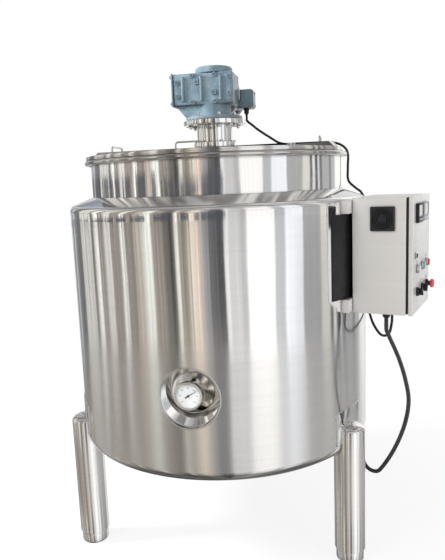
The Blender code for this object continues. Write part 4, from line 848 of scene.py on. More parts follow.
def sheetRings(outer, wall):  # the outer line and, back along it, the same line one sheet further in
    inner = []
    for number, (radius, height) in enumerate(outer):
        before = outer[max(number - 1, 0)]
        after = outer[min(number + 1, len(outer) - 1)]
        run = Vector((after[0] - before[0], after[1] - before[1])).normalized()
        inner.append((radius + run.y * wall, height - run.x * wall))
    return outer + inner[::-1]


def makeShell(name, line, finish, node):
    asNode(lathe(name, sheetRings(line, tank["sheet"]), tank["sides"], "joined"), node, finish, 40)


def jacketLine():
    neck = tank["neckRadius"] + tank["touch"]
    hole = tank["outletRadius"] + tank["touch"]
    out = tank["jacketRadius"]
    corner = tank["shoulderTop"] - (out - neck) * math.tan(math.radians(tank["shoulderSlope"]))
    middle = tank["bottomCorner"] - (out - hole) * math.tan(math.radians(tank["bottomSlope"]))
    points = [(neck, tank["shoulderTop"]), (out, corner), (out, tank["bottomCorner"]), (hole, middle)]
    return bentLine(points, [tank["shoulderKnuckle"], tank["bottomKnuckle"]])


def makeJacket():
    line = jacketLine()
    bends = 10  # the top point and the nine of the first bend
    makeShell("jacketShoulder", line[:bends], "dish", "jacket_shoulder")
    top, bottom = line[bends - 1][1] - tank["touch"], line[bends][1]
    wallLine = [(tank["jacketRadius"], top), (tank["jacketRadius"], bottom)]
    wall = lathe("jacketWall", sheetRings(wallLine, tank["sheet"]), tank["sides"], "joined")
    low, high = spanOf("gauge_pocket")
    radius = (high.z - low.z) / 2 + tank["touch"]
    middle = ((low.x + high.x) / 2, -tank["jacketRadius"], (low.z + high.z) / 2)
    bpy.ops.mesh.primitive_cylinder_add(vertices=160, radius=radius, depth=0.3, location=middle,
                                        rotation=(math.pi / 2, 0, 0))
    cutBy(wall, settle(bpy.context.object))
    asNode(wall, "jacket_wall", "jacket", 40)
    lower = [(tank["jacketRadius"], line[bends][1] - tank["touch"])] + line[bends + 1:]
    makeShell("jacketBottom", lower, "dish", "jacket_bottom")


def makeVessel():
    out = tank["neckRadius"]
    hole = tank["outletRadius"] + tank["touch"]
    top = highOf("vessel_wall").z
    middle = tank["vesselCorner"] - (out - hole) * math.tan(math.radians(tank["bottomSlope"]))
    line = bentLine([(out, top), (out, tank["vesselCorner"]), (hole, middle)], [tank["vesselKnuckle"]])
    makeShell("vesselWall", line[:2], "mirror", "vessel_wall")
    lower = [(out, line[1][1] - tank["touch"])] + line[2:]
    makeShell("vesselBottom", lower, "vessel", "vessel_bottom")


def makeRim():
    low, high = spanOf("rim_ring")
    half = (high.z - low.z) / 2
    bend = high.x - half
    inner = tank["neckRadius"] + tank["touch"]
    rings = [(inner, high.z)]
    for step in range(15):
        turn = math.radians(90 - 180 * step / 14)
        rings.append((bend + half * math.cos(turn), low.z + half + half * math.sin(turn)))
    rings.append((inner, low.z))
    piece = lathe("rimRing", rings, 360, "joined")
    asNode(piece, "rim_ring", "rim", 40)


def makeOutlet():
    low, high = spanOf("outlet_pipe")
    pipe = tank["outletRadius"]
    bore = pipe - 0.0015
    lip = high.x
    rings = [(bore, high.z), (pipe, high.z), (pipe, low.z + 0.0106), (lip - 0.0006, low.z + 0.0064),
             (lip, low.z + 0.0056), (lip, low.z + 0.0008), (lip - 0.0008, low.z), (bore + 0.006, low.z),
             (bore + 0.0052, low.z + 0.0012), (bore + 0.0040, low.z + 0.0012), (bore + 0.0032, low.z),
             (bore, low.z)]
    piece = lathe("outletPipe", rings, 96, "joined")
    asNode(piece, "outlet_pipe", "tube", 40)


makeJacket()
makeVessel()
makeRim()
makeOutlet()
print("tank shells turned")


# Small pieces that repeat

def facing(place, direction):  # turns what is made about +Z so that it points in a direction
    turn = Vector(direction).to_track_quat("Z", "Y").to_matrix().to_4x4()
    return Matrix.Translation(place) @ turn


def setDown(piece, place):
    twin = copyOf(piece)
    twin.data.transform(place)
    return twin


def scatter(name, model, places, finish="bolt", body="root"):  # joined copies
    piece = joinAll(name, [setDown(model, place) for place in places])
    bpy.data.objects.remove(model, do_unlink=True)
    smoothBy(piece, 32)
    return dress(piece, finish, body)


def tubeAlong(name, path, radius, resolution, widths=None):
    pick(curveAlong(name, path, radius, resolution, widths))
    bpy.ops.object.convert(target="MESH")
    return smoothBy(bpy.context.object, 50)


def weldAlong(name, path, radius, resolution):  # a bead with the ripples of a weld
    ripples = [1 + 0.16 * math.sin(number * 1.9) for number in range(len(path))]
    return tubeAlong(name, path, radius, resolution, ripples)


def circle(radius, steps):  # points round a circle, the first one again at the end
    turns = [math.tau * step / steps for step in range(steps + 1)]
    return [(radius * math.cos(turn), radius * math.sin(turn)) for turn in turns]


def prism(name, sides, radius, height, edge=0.0):  # stands on the ground, softened round its top
    unselectAll()
    bpy.ops.mesh.primitive_cylinder_add(vertices=sides, radius=radius, depth=height,
                                        location=(0, 0, height / 2))
    piece = settle(bpy.context.object)
    piece.name = name
    if edge:
        softenEdges(piece, edge, 2, 50)
    return piece


def sheetBox(name, low, high, edge=0.0, segments=2):
    unselectAll()
    low, high = Vector(low), Vector(high)
    bpy.ops.mesh.primitive_cube_add(size=1, location=(low + high) / 2)
    piece = bpy.context.object
    piece.name = name
    piece.scale = high - low
    settle(piece)
    if edge:
        softenEdges(piece, edge, segments, 50)
    return piece


def hexScrew(across, head, washer):  # a hexagon head on its washer
    plate = prism("washer", 28, across * 0.82, washer, washer * 0.25)
    cap = prism("head", 6, across * 0.577, head, head * 0.16)
    cap.data.transform(Matrix.Translation((0, 0, washer)))
    return joinAll("hexScrew", [plate, cap])


def socketScrew(radius, head):  # a round head with a hexagon socket
    cap = prism("socketScrew", 20, radius, head, head * 0.2)
    socket = prism("socket", 6, radius * 0.5, head)
    socket.data.transform(Matrix.Translation((0, 0, head * 0.4)))
    return cutBy(cap, socket)


def around(centre, radius, count, start=0.0, skip=()):
    for number in range(count):
        if number in skip:
            continue
        turn = math.radians(start + 360 * number / count)
        yield Vector((centre[0] + radius * math.cos(turn), centre[1] + radius * math.sin(turn), centre[2]))


def polar(radius, azimuth, height):  # azimuth in degrees from the front, towards +X
    turn = math.radians(azimuth)
    return Vector((radius * math.sin(turn), -radius * math.cos(turn), height))


# Legs: tube with a domed top on a curved backing pad, welded all round

leg = {
    "radius": 0.054, "sides": 96,
    "low": lowOf("leg_left").z, "shoulder": 0.483, "dome": 0.026,
    "domeTurn": 89.3, "beadTurn": 86.3,  # how far round its quarter circle the dome and its bead go
    "padLow": 0.445, "padHigh": highOf("leg_left").z,
    "padHalf": 0.081, "padThick": 0.0035, "padCorner": 0.007, "edge": 0.0007,
    "bead": 0.0021, "padBead": 0.0013, "ripple": 0.004, "toolTop": 0.75,
    "azimuths": {"left": -62, "right": 62, "rear": 180},
}


def jacketTool(grown):  # the jacket's outside as a solid for cutting
    line = [(radius + grown, height) for radius, height in jacketLine()[10:]]
    return lathe("jacketTool", [(line[0][0], leg["toolTop"]), *line], 360, "filled")


def makePad(azimuth):
    pad = sheetBox("pad", (-leg["padHalf"], -tank["jacketRadius"] - 0.03, leg["padLow"]),
                   (leg["padHalf"], -tank["jacketRadius"] + 0.03, leg["padHigh"]))
    bpy.ops.object.mode_set(mode="EDIT")
    bpy.ops.mesh.select_mode(type="EDGE")
    bpy.ops.mesh.select_all(action="DESELECT")
    bpy.ops.object.mode_set(mode="OBJECT")
    for edge in pad.data.edges:
        a, b = (pad.data.vertices[number].co for number in edge.vertices)
        edge.select = abs(a.y - b.y) > 0.01
    bpy.ops.object.mode_set(mode="EDIT")
    bpy.ops.mesh.bevel(offset=leg["padCorner"], segments=5, affect="EDGES")
    bpy.ops.mesh.select_mode(type="VERT")
    bpy.ops.object.mode_set(mode="OBJECT")
    inner, outer = tank["jacketRadius"] + tank["touch"], tank["jacketRadius"] + leg["padThick"]
    low, high = leg["padLow"] - 0.02, leg["padHigh"] + 0.02
    rings = [(outer, high), (outer, low), (inner, low), (inner, high)]
    skin = lathe("padSkin", rings, tank["sides"], "joined")
    cutBy(pad, skin, "INTERSECT")
    softenEdges(pad, leg["edge"], 2, 50)
    pad.data.transform(Matrix.Rotation(math.radians(azimuth), 4, "Z"))
    return pad


def beadAngle(radius):  # where a round of the leg meets the pad's face, from straight out
    out = tank["jacketRadius"]
    face = out + leg["padThick"]
    share = (face ** 2 - out ** 2 - radius ** 2) / (2 * out * radius)
    return math.acos(max(-1.0, min(1.0, share)))


def domeRings(degrees, steps):  # the leg's domed top, from its shoulder up
    rings = []
    for step in range(steps + 1):
        turn = math.radians(degrees * step / steps)
        rings.append((leg["radius"] * math.cos(turn), leg["shoulder"] + leg["dome"] * math.sin(turn)))
    return rings


def makeLegBead(name, azimuth):
    rings = [(leg["radius"], leg["padLow"] + 0.001 + (leg["shoulder"] - leg["padLow"]) * step / 12)
             for step in range(12)]
    rings += domeRings(leg["beadTurn"], 14)
    sides = []
    for side in (1, -1):
        sides.append([Vector((side * radius * math.sin(beadAngle(radius)),
                              -tank["jacketRadius"] - radius * math.cos(beadAngle(radius)), height))
                      for radius, height in rings])
    path = []
    for a, b in zip(sides[0], sides[0][1:]):
        path += [a, a.lerp(b, 0.5)]
    path += sides[0][-1:]
    mirrored = [Vector((-point.x, point.y, point.z)) for point in path[::-1]]
    bead = weldAlong(name, path + mirrored, leg["bead"], 3)
    bead.data.transform(Matrix.Rotation(math.radians(azimuth), 4, "Z"))
    dress(bead, "weld")


def makePadBead(name, azimuth):
    half, low, high = leg["padHalf"], leg["padLow"], leg["padHigh"]
    corners = [(0, 0, low), (half, 0, low), (half, 0, high), (-half, 0, high), (-half, 0, low), (0, 0, low)]
    path = []
    flat = roundedPath(corners, [leg["padCorner"]] * 4, 5)
    for a, b in zip(flat, flat[1:]):
        count = max(1, round((b - a).length / leg["ripple"]))
        path += [a.lerp(b, step / count) for step in range(count)]
    radius = tank["jacketRadius"] + 0.0008
    bent = [polar(radius, azimuth + math.degrees(math.asin(point.x / radius)), point.z) for point in path]
    dress(weldAlong(name, [*bent, bent[0]], leg["padBead"], 2), "weld")


def makeLeg(name, azimuth):
    rings = [(leg["radius"], leg["low"]), *domeRings(leg["domeTurn"], 12)]
    place = Matrix.Translation(polar(tank["jacketRadius"], azimuth, 0))
    tube = lathe("tube", rings, leg["sides"], "filled", place)
    cutBy(tube, makePad(azimuth), "UNION")
    cutBy(tube, jacketTool(tank["touch"]))
    tube.name = "leg" + name.capitalize()
    asNode(tube, "leg_" + name, "tube", 38)
    makeLegBead("legWeld" + name.capitalize(), azimuth)
    makePadBead("padWeld" + name.capitalize(), azimuth)


def makeFoot(name):
    foot = "foot_" + name
    low, high = spanOf(foot)
    wide = (high.x - low.x) / 2
    rings = bentLine([(0.002, high.z), (wide, high.z), (wide, 0), (0.002, 0)], [0.003, 0.007], 5)
    base = lathe("foot" + name.capitalize(), rings, leg["sides"], "filled",
                 Matrix.Translation(((low.x + high.x) / 2, (low.y + high.y) / 2, 0)))
    asNode(base, foot, "tube", 38)


for legName, legAzimuth in leg["azimuths"].items():
    makeLeg(legName, legAzimuth)
    makeFoot(legName)
print("legs and feet made")


# Thermometer in its polished pocket

gauge = {
    "x": (lowOf("gauge_pocket").x + highOf("gauge_pocket").x) / 2,
    "z": (lowOf("gauge_pocket").z + highOf("gauge_pocket").z) / 2,
    "radius": (highOf("gauge_pocket").x - lowOf("gauge_pocket").x) / 2,
    "weld": 0.0016, "wall": 0.002, "depth": 0.062, "floor": 0.034, "lead": 0.012,
    "caseRadius": (highOf("thermometer_case").x - lowOf("thermometer_case").x) / 2,
    "bezel": 0.0055, "stem": 0.009, "caseDepth": 0.024,
    "numbers": 7, "firstNumber": 0, "step": 20, "sweep": 270, "numberSize": 0.0072,
    "tick": (0.0046, 0.00055), "smallTick": (0.0026, 0.00030),
    "tickInset": 0.0026, "numberInset": 0.0135, "printed": 0.00002,  # how far the marks stand off the dial
}


def makePocket():
    deep = -gauge["depth"]
    radius = gauge["radius"]
    line = bentLine([(radius, 0.02), (radius, -gauge["lead"]), (gauge["floor"], deep), (0.0012, deep)],
                    [0.012, 0.02], 8)
    place = facing((gauge["x"], -tank["jacketRadius"], gauge["z"]), (0, -1, 0))
    pocket = lathe("gaugePocket", sheetRings(line, gauge["wall"]), 160, "filled", place)
    trim = tank["jacketRadius"] + 0.001
    ends = [(trim, gauge["z"] - 0.2), (trim, gauge["z"] + 0.2)]
    cutBy(pocket, lathe("pocketTrim", ends, tank["sides"], "filled"), "INTERSECT")
    asNode(pocket, "gauge_pocket", "mirror", 40)
    path = []
    for x, z in circle(radius + 0.0006, 144):
        x += gauge["x"]
        path.append((x, -math.sqrt((tank["jacketRadius"] + tank["touch"]) ** 2 - x * x), gauge["z"] + z))
    dress(tubeAlong("pocketWeld", path, gauge["weld"], 3), "mirror")


def frontOf(node):  # the middle of a node's front, looking out of it
    low, high = spanOf(node)
    return facing(((low.x + high.x) / 2, low.y, (low.z + high.z) / 2), (0, -1, 0))


def thinDisc(name, node, radius, finish):
    rings = [(radius, -0.0015), (radius, 0), (0.001, 0)]
    return asNode(lathe(name, rings, 96, "filled", frontOf(node)), node, finish)


def makeCase():
    low, high = spanOf("thermometer_case")
    deep = high.y - low.y
    out, lip = gauge["caseRadius"], gauge["caseRadius"] - gauge["bezel"]
    rings = bentLine([(gauge["stem"], -deep), (gauge["stem"], -gauge["caseDepth"]),
                      (out, -gauge["caseDepth"]), (out, 0), (lip, 0), (lip, -0.009), (0.001, -0.009)],
                     [0.002, 0.004, 0.0022, 0.0009, 0.0006], 6)
    asNode(lathe("thermometerCase", rings, 128, "filled", frontOf("thermometer_case")),
           "thermometer_case", "mirror")


def markModel(size):
    long, wide = size
    return sheetBox("mark", (-wide / 2, -long, 0), (wide / 2, 0, 0.0001))


def makeDial():
    radius = gauge["caseRadius"] - gauge["bezel"] - tank["touch"]
    thinDisc("thermometerDial", "thermometer_dial", radius, "enamel")
    dial = frontOf("thermometer_dial")
    big, small = markModel(gauge["tick"]), markModel(gauge["smallTick"])
    marks = []
    parts = (gauge["numbers"] - 1) * 10
    for number in range(parts + 1):
        turn = gauge["sweep"] / 2 - gauge["sweep"] * number / parts
        out = Matrix.Translation((0, radius - gauge["tickInset"], gauge["printed"]))
        spin = Matrix.Rotation(math.radians(turn), 4, "Z") @ out
        marks.append(setDown(big if number % 5 == 0 else small, dial @ spin))
    for model in (big, small):
        bpy.data.objects.remove(model, do_unlink=True)
    for number in range(gauge["numbers"]):
        turn = math.radians(90 + gauge["sweep"] / 2 - gauge["sweep"] * number / (gauge["numbers"] - 1))
        reach = radius - gauge["numberInset"]
        bpy.ops.object.text_add()
        word = bpy.context.object
        word.data.body = str(gauge["firstNumber"] + number * gauge["step"])
        word.data.size = gauge["numberSize"]
        word.data.align_x = "CENTER"
        word.data.align_y = "CENTER"
        word.data.extrude = 0.00004
        word.data.resolution_u = 3
        pick(word)
        bpy.ops.object.convert(target="MESH")
        word = bpy.context.object
        spot = Matrix.Translation((reach * math.cos(turn), reach * math.sin(turn), 3 * gauge["printed"]))
        word.data.transform(dial @ spot)
        marks.append(word)
    dress(joinAll("dialMarks", marks), "ink")


def makePointer():
    refine("thermometer_pointer", "ink", 0.0002, 2, 35)
    rings = [(0.0042, 0.0004), (0.0042, 0.0022), (0.0034, 0.0028), (0.0006, 0.0030)]
    boss = lathe("pointerBoss", rings, 32, "filled", frontOf("thermometer_dial"))
    smoothBy(boss, 38)
    dress(boss, "ink")


def makeGaugeGlass():
    low, high = spanOf("thermometer_glass")
    glass = thinDisc("thermometerGlass", "thermometer_glass", (high.x - low.x) / 2, "glass")
    glass.visible_shadow = False  # the dial is lit through it


makePocket()
makeCase()
makeDial()
makePointer()
makeGaugeGlass()
print("thermometer made")


# Lids, bridge and handles

cover = {
    "edge": 0.0012, "handleSteps": 8,
    "lidBar": 0.0028, "bridgeBar": 0.0035,
    "hingePlace": 0.280,
}


def jointPlace(name):
    for joint in frame["record"]["behaviour"]["joints"]:
        if joint["name"] == name:
            return Vector(joint["pos_m"])
    return None


def makeHandle(node, bar, across):  # across is the axis that the handle runs along
    low, high = spanOf(node)
    middle = (low + high) / 2
    half = (high[across] - low[across]) / 2 - bar
    first, last = middle.copy(), middle.copy()
    first[across] -= half
    last[across] += half
    top = high.z - bar
    corners = [Vector((spot.x, spot.y, height)) for spot, height in
               ((first, low.z), (first, top), (last, top), (last, low.z))]
    path = roundedPath(corners, [3 * bar] * 2, cover["handleSteps"])
    words = node.split("_")
    name = words[0] + "".join(word.capitalize() for word in words[1:]) + "Bar"
    dress(tubeAlong(name, path, bar, 6), "rod", bodyOf(node), [node])
    rings = [(bar * 1.75, 0), (bar * 1.45, bar * 0.35), (bar * 1.02, bar * 0.8)]
    beads = [lathe("bead", rings, 28, "filled", Matrix.Translation(foot)) for foot in (path[0], path[-1])]
    bead = joinAll(name + "Weld", beads)
    smoothBy(bead, 60)
    dress(bead, "weld", bodyOf(node))


def makeCovers():
    for node in ("front_lid", "rear_lid", "bridge"):
        refine(node, "lid", cover["edge"], 2, 34)
    for node in ("front_lid_handle", "rear_lid_handle"):
        makeHandle(node, cover["lidBar"], 0)
    for node in ("bridge_handle_left", "bridge_handle_right"):
        makeHandle(node, cover["bridgeBar"], 1)
    hinge = jointPlace("front_lid_hinge")
    pin = prism("pin", 24, 0.0026, 0.0600, 0.0004)
    places = [facing((side * cover["hingePlace"] - 0.0300, hinge.y, hinge.z), (1, 0, 0))
              for side in (-1, 1)]
    scatter("lidHingePins", pin, places)


makeCovers()
print("lids, bridge and handles made")


# Drive: pedestal, gear case and motor

drive = {
    "footRadius": 0.079, "footHeight": 0.021, "tube": 0.0665, "bore": 0.0615, "flangeHeight": 0.016,
    "footBolts": 6, "footBolt": 0.0085, "footBoltHead": 0.0055,
    "flangeBolts": 8, "flangeBoltRing": 0.0900, "flangeBolt": 0.013, "flangeBoltHead": 0.0075,
    "gearFlangeTop": 0.0133,
    "edge": 0.0016,
    "bossRecess": 0.0054, "bossScrew": 0.0044, "recessDepth": 0.0040,
    "plugRecess": 0.0052, "bossProud": 0.004,
    "bosses": ((0.0145, 0.024), (0.0145, -0.024), (0.2085, 0.036), (0.2085, -0.023), (0.0715, 0.0465),
               (0.0715, -0.0465), (0.155, 0.0465), (0.155, -0.0465)),
    "plugs": ((0.089, 0.0234), (0.1524, -0.0157)),
    "motorAxis": 1.677, "motorFlange": 0.088, "motorBolts": 4, "motorBoltRing": 0.0785,
    "cowl": 0.071, "cowlRim": 0.013, "guardRings": (0.018, 0.030, 0.042, 0.054), "guardSpokes": 6,
    "ringWire": 0.0011, "spokeWire": 0.0014, "hub": 0.004,
    "screwInset": 0.012, "terminalLid": 0.004,  # for the end cover and the terminal box
    "endScrew": (0.010, 0.005, 0.0010), "motorScrew": (0.011, 0.007, 0.0014),  # across, head, washer
    "plugScrewHead": 0.0034, "terminalScrew": (0.0030, 0.0020), "stud": (0.0038, 0.0125),
}


def makePedestal():
    low, top = lowOf("pedestal").z, highOf("pedestal").z
    flange = highOf("pedestal").x
    foot = drive["footRadius"]
    step = low + drive["footHeight"]
    under = top - drive["flangeHeight"]
    outer = bentLine([(drive["bore"], low), (foot, low), (foot, step), (drive["tube"], step),
                      (drive["tube"], under), (flange, under), (flange, top), (drive["bore"], top)],
                     [0.0012, 0.0012, 0.0022, 0.0022, 0.0012, 0.0012], 4)
    asNode(lathe("pedestalTube", outer, 200, "joined"), "pedestal", "mirror", 34)
    screw = hexScrew(drive["footBolt"], drive["footBoltHead"], 0.0010)
    ring = (drive["tube"] + foot) / 2 + 0.0008
    scatter("footScrews", screw, [Matrix.Translation(spot) for spot in
                                  around((0, 0, step), ring, drive["footBolts"])])
    nut = hexScrew(drive["flangeBolt"], drive["flangeBoltHead"], 0.0016)
    stud = prism("stud", 20, *drive["stud"], 0.0006)
    nut = joinAll("nut", [nut, stud])
    places = [facing(spot, (0, 0, -1)) for spot in
              around((0, 0, under), drive["flangeBoltRing"], drive["flangeBolts"], 22.5)]
    gearTop = lowOf("gear_housing").z - tank["touch"] + drive["gearFlangeTop"]
    places += [Matrix.Translation(spot) for spot in
               around((0, 0, gearTop), drive["flangeBoltRing"], drive["flangeBolts"], 22.5, (3, 4))]
    scatter("flangeBolts", nut, places)


def gearSpot(run, rise):  # the bottom of a recess in the housing's front, from its left end
    low, high = spanOf("gear_end_cover")
    front = low.y + 0.003 - drive["bossProud"] + drive["recessDepth"]
    return facing((high.x + tank["touch"] + run, front, (low.z + high.z) / 2 + rise), (0, -1, 0))


def makeGearHousing():
    housing = lift("gear_housing")
    cutters = []
    for spots, radius in ((drive["bosses"], drive["bossRecess"]), (drive["plugs"], drive["plugRecess"])):
        for spot in spots:
            cutter = prism("recess", 32, radius, 0.02)
            cutter.data.transform(gearSpot(*spot))
            cutters.append(cutter)
    cutBy(housing, joinAll("recesses", cutters))
    softenEdges(housing, drive["edge"] / 2, 2, 40)
    asNode(housing, "gear_housing", "paint", 40)
    screw = socketScrew(drive["bossScrew"], drive["plugScrewHead"])
    places = [gearSpot(*spot) for spot in drive["bosses"] + drive["plugs"]]
    scatter("gearScrews", screw, places, "paint")


def makeGearCovers():
    refine("gear_end_cover", "paint", 0.0012, 2, 40)
    low, high = spanOf("gear_end_cover")
    screw = hexScrew(*drive["endScrew"])
    inset = drive["screwInset"]
    columns = (low.y + inset, (low.y + high.y) / 2, high.y - inset)
    places = [facing((low.x, y, z), (-1, 0, 0)) for y in columns for z in (low.z + inset, high.z - inset)]
    scatter("endCoverScrews", screw, places, "paint")
    low, high = spanOf("gear_top_cover")
    radius = (high.x - low.x) / 2
    rings = bentLine([(0.0015, low.z), (radius, low.z), (radius, high.z), (0.0015, high.z)],
                     [0.0008, 0.010], 8)
    top = lathe("gearTopCover", rings, 160, "filled", Matrix.Translation(((low.x + high.x) / 2, 0, 0)))
    asNode(top, "gear_top_cover", "paint", 34)


def makeMotorBody():
    rear = highOf("motor_body").y
    axis = Vector((0, 0, drive["motorAxis"])).z
    body = softenEdges(lift("motor_body"), 0.0006, 2, 40)
    recess = prism("recess", 64, drive["cowl"] - drive["cowlRim"], 0.03)
    recess.data.transform(facing((0, rear - 0.006, axis), (0, 1, 0)))
    asNode(cutBy(body, recess), "motor_body", "paint")
    wires = []
    for radius in drive["guardRings"]:
        path = [(x, rear - 0.0028, axis + z) for x, z in circle(radius, 48)]
        wires.append(tubeAlong("ring", path, drive["ringWire"], 2))
    for spoke in range(drive["guardSpokes"]):
        turn = math.tau * spoke / drive["guardSpokes"]
        path = [(reach * math.cos(turn), rear - 0.0046, axis + reach * math.sin(turn))
                for reach in (drive["hub"], drive["cowl"] - 0.012)]
        wires.append(tubeAlong("spoke", path, drive["spokeWire"], 2))
    dress(joinAll("motorGuard", wires), "black")


def makeMotorFlange():
    axis = Vector((0, 0, drive["motorAxis"])).z
    low, high = spanOf("motor_flange")
    disc = bentLine([(0.002, low.y), (drive["motorFlange"], low.y), (drive["motorFlange"], high.y),
                     (0.002, high.y)], [0.0015, 0.003], 5)
    place = Matrix.Translation((0, 0, axis)) @ Matrix.Rotation(-math.pi / 2, 4, "X")
    asNode(lathe("motorFlange", disc, 128, "filled", place), "motor_flange", "cast", 34)
    screw = hexScrew(*drive["motorScrew"])
    places = [facing((spot.x, high.y, axis + spot.y), (0, 1, 0)) for spot in
              around((0, 0, 0), drive["motorBoltRing"], drive["motorBolts"], 45)]
    scatter("motorFlangeScrews", screw, places)


def makeTerminalBox():
    refine("motor_terminal_box", "paint", 0.0014, 2, 40)
    low, high = spanOf("motor_terminal_box")
    inset, proud = drive["screwInset"], drive["terminalLid"]
    lid = sheetBox("terminalLid", (high.x, low.y + proud, low.z + proud),
                   (high.x + proud, high.y - proud, high.z - proud), 0.0018, 3)
    smoothBy(lid, 40)
    dress(lid, "paint")
    screw = socketScrew(*drive["terminalScrew"])
    places = [facing((high.x + proud, y, z), (1, 0, 0)) for y in (low.y + inset, high.y - inset)
              for z in (low.z + inset, high.z - inset)]
    scatter("terminalScrews", screw, places)


makePedestal()
makeGearHousing()
makeGearCovers()
makeMotorBody()
makeMotorFlange()
makeTerminalBox()
print("drive made")


# Agitator inside the vessel, and the heater's junction box under it

heaterBox = {"screw": (0.008, 0.004, 0.0010), "screwInset": 0.013, "edge": 0.0020}


def makeInside():
    low, high = spanOf("agitator_shaft")
    rings = [(0.002, low.z), (0.018, low.z), (high.x, low.z + 0.002), (high.x, high.z), (0.002, high.z)]
    shaft = lathe("agitatorShaft", rings, 96, "filled")
    asNode(shaft, "agitator_shaft", "mirror", 34)
    refine("agitator_anchor", "vessel", 0.0016, 2, 40)
    refine("heater_box", "sheet", heaterBox["edge"], 3, 40)
    low, high = spanOf("heater_box")
    screw = hexScrew(*heaterBox["screw"])
    inset = heaterBox["screwInset"]
    places = [facing((x, y, low.z), (0, 0, -1)) for x in (low.x + inset, high.x - inset)
              for y in (low.y + inset, high.y - inset)]
    scatter("heaterBoxScrews", screw, places)
    for node in ("heater_gland", "motor_gland", "cabinet_gland_heater", "cabinet_gland_motor"):
        refine(node, "black", 0.0007, 2, 40)


makeInside()
print("inside and glands made")


# Control cabinet; its pieces are laid out in front of the cabinet and turned to it

panel = {
    "shift": 0.036, "face": -0.7491, "top": highOf("cabinet_body").z,
    "rear": -0.5545, "width": 0.300, "height": 0.380,
    "columns": (-0.079, 0.010, 0.095), "drops": (0.236, 0.312), "radius": 0.0145, "stopRadius": 0.015,
    "label": (0.026, 0.0085, 0.0007), "labelRise": 0.0235,
    "lockPlace": -0.106, "lockDrop": 0.190, "lockProud": 0.004, "slit": (0.0096, 0.0018),
    "fanDepth": 0.099, "fanDrop": 0.068, "fanThick": 0.0083, "fanScrew": 0.0325,
    "fanRings": (0.008, 0.0145, 0.021, 0.0275, 0.034), "fanSpoke": (0.004, 0.0465),
    "fanRingWire": 0.0009, "fanSpokeWire": 0.0012, "fanSpokes": 4,
    "hingeInset": 0.060,
}


def onPanel(x, z, proud=0.0):  # a place on the door's face, with +Z out of the door
    return cabinetTurn() @ facing((panel["shift"] + x, panel["face"] - proud, panel["top"] - z), (0, -1, 0))


def turnedKnob(node, name, line, radii, finish, place, slot=None):  # one with a slot stands for no node
    knob = lathe(name, bentLine(line, radii, 5), 56, "filled", place)
    if slot is None:
        return asNode(knob, node, finish)
    smoothBy(knob, 38)
    return dress(knob, finish, "cabinet_door")


def makePush(node, name, column, drop, finish):
    r = panel["radius"]
    place = onPanel(column, drop)
    cap = [(0.0015, 0.002), (r * 0.8, 0.002), (r * 0.8, 0.012), (0.0015, 0.0125)]
    turnedKnob(node, name + "Cap", cap, [0.0003, 0.0018], finish, place)
    ring = [(r * 0.84, 0.001), (r * 0.84, 0.0075), (r, 0.0055), (r, 0), (r * 0.86, 0)]
    turnedKnob(node, name + "Ring", ring, [0.0006, 0.0012, 0.0003], "bolt", place, "brushed_steel")


selector = {
    "gripWide": 0.26, "gripLong": 0.92,  # these and the next three are times the button's radius
    "markWide": 0.06, "markFrom": 0.15, "markTo": 0.84,
    "gripLow": 0.0080, "gripHigh": 0.0200, "markLow": 0.0199, "markHigh": 0.0202,
}


def makeSelector(node, name, column, drop, turn):
    r = panel["radius"]
    place = onPanel(column, drop)
    base = [(0.0015, 0.0), (r, 0.0), (r, 0.0065), (r * 0.72, 0.0085), (0.0015, 0.0085)]
    turnedKnob(node, name + "Base", base, [0.0004, 0.0012, 0.0008], "black", place)
    turned = place @ Matrix.Rotation(math.radians(turn), 4, "Z")
    wide, long = r * selector["gripWide"], r * selector["gripLong"]
    grip = sheetBox(name + "Grip", (-wide, -long, selector["gripLow"]),
                    (wide, long, selector["gripHigh"]), 0.0014, 3)
    smoothBy(grip, 40)
    grip.data.transform(turned)
    dress(grip, "black", "cabinet_door")
    wide = r * selector["markWide"]
    mark = sheetBox(name + "Mark", (-wide, r * selector["markFrom"], selector["markLow"]),
                    (wide, r * selector["markTo"], selector["markHigh"]))
    mark.data.transform(turned)
    dress(mark, "enamel", "cabinet_door")


def makeStop():
    r = panel["radius"]
    place = onPanel(panel["columns"][2], panel["drops"][1])
    wide = panel["stopRadius"]
    head = [(0.0015, 0.0150), (wide * 0.80, 0.0150), (wide, 0.0175), (wide, 0.0235), (wide * 0.72, 0.0275),
            (0.0015, 0.0280)]
    turnedKnob("emergency_stop", "emergencyHead", head, [0.0006, 0.0010, 0.0025, 0.0040], "red", place)
    base = [(0.0015, 0.0), (r, 0.0), (r, 0.0055), (r * 0.62, 0.0085), (r * 0.58, 0.0155), (0.0015, 0.0155)]
    turnedKnob("emergency_stop", "emergencyBase", base, [0.0004, 0.0012, 0.0010, 0.0003], "black", place,
               "black_plastic")


display = {
    "columns": {"temperature_display": (-0.068, "black"), "timer_display": (0.036, "grey")},
    "size": (0.080, 0.062), "drop": 0.0545, "proud": 0.010, "edge": 0.0022,
    "frame": 0.006, "foot": 0.020, "recess": 0.0022,  # the frame round the recess, and the strip under it
    "windowFrame": 0.0062, "windowFoot": 0.0202, "windowBack": 0.0030, "windowFront": 0.0012,
    "keys": (-0.027, -0.009, 0.009, 0.027), "keySize": (0.0110, 0.0072, 0.0014), "keyRise": 0.0105,
}


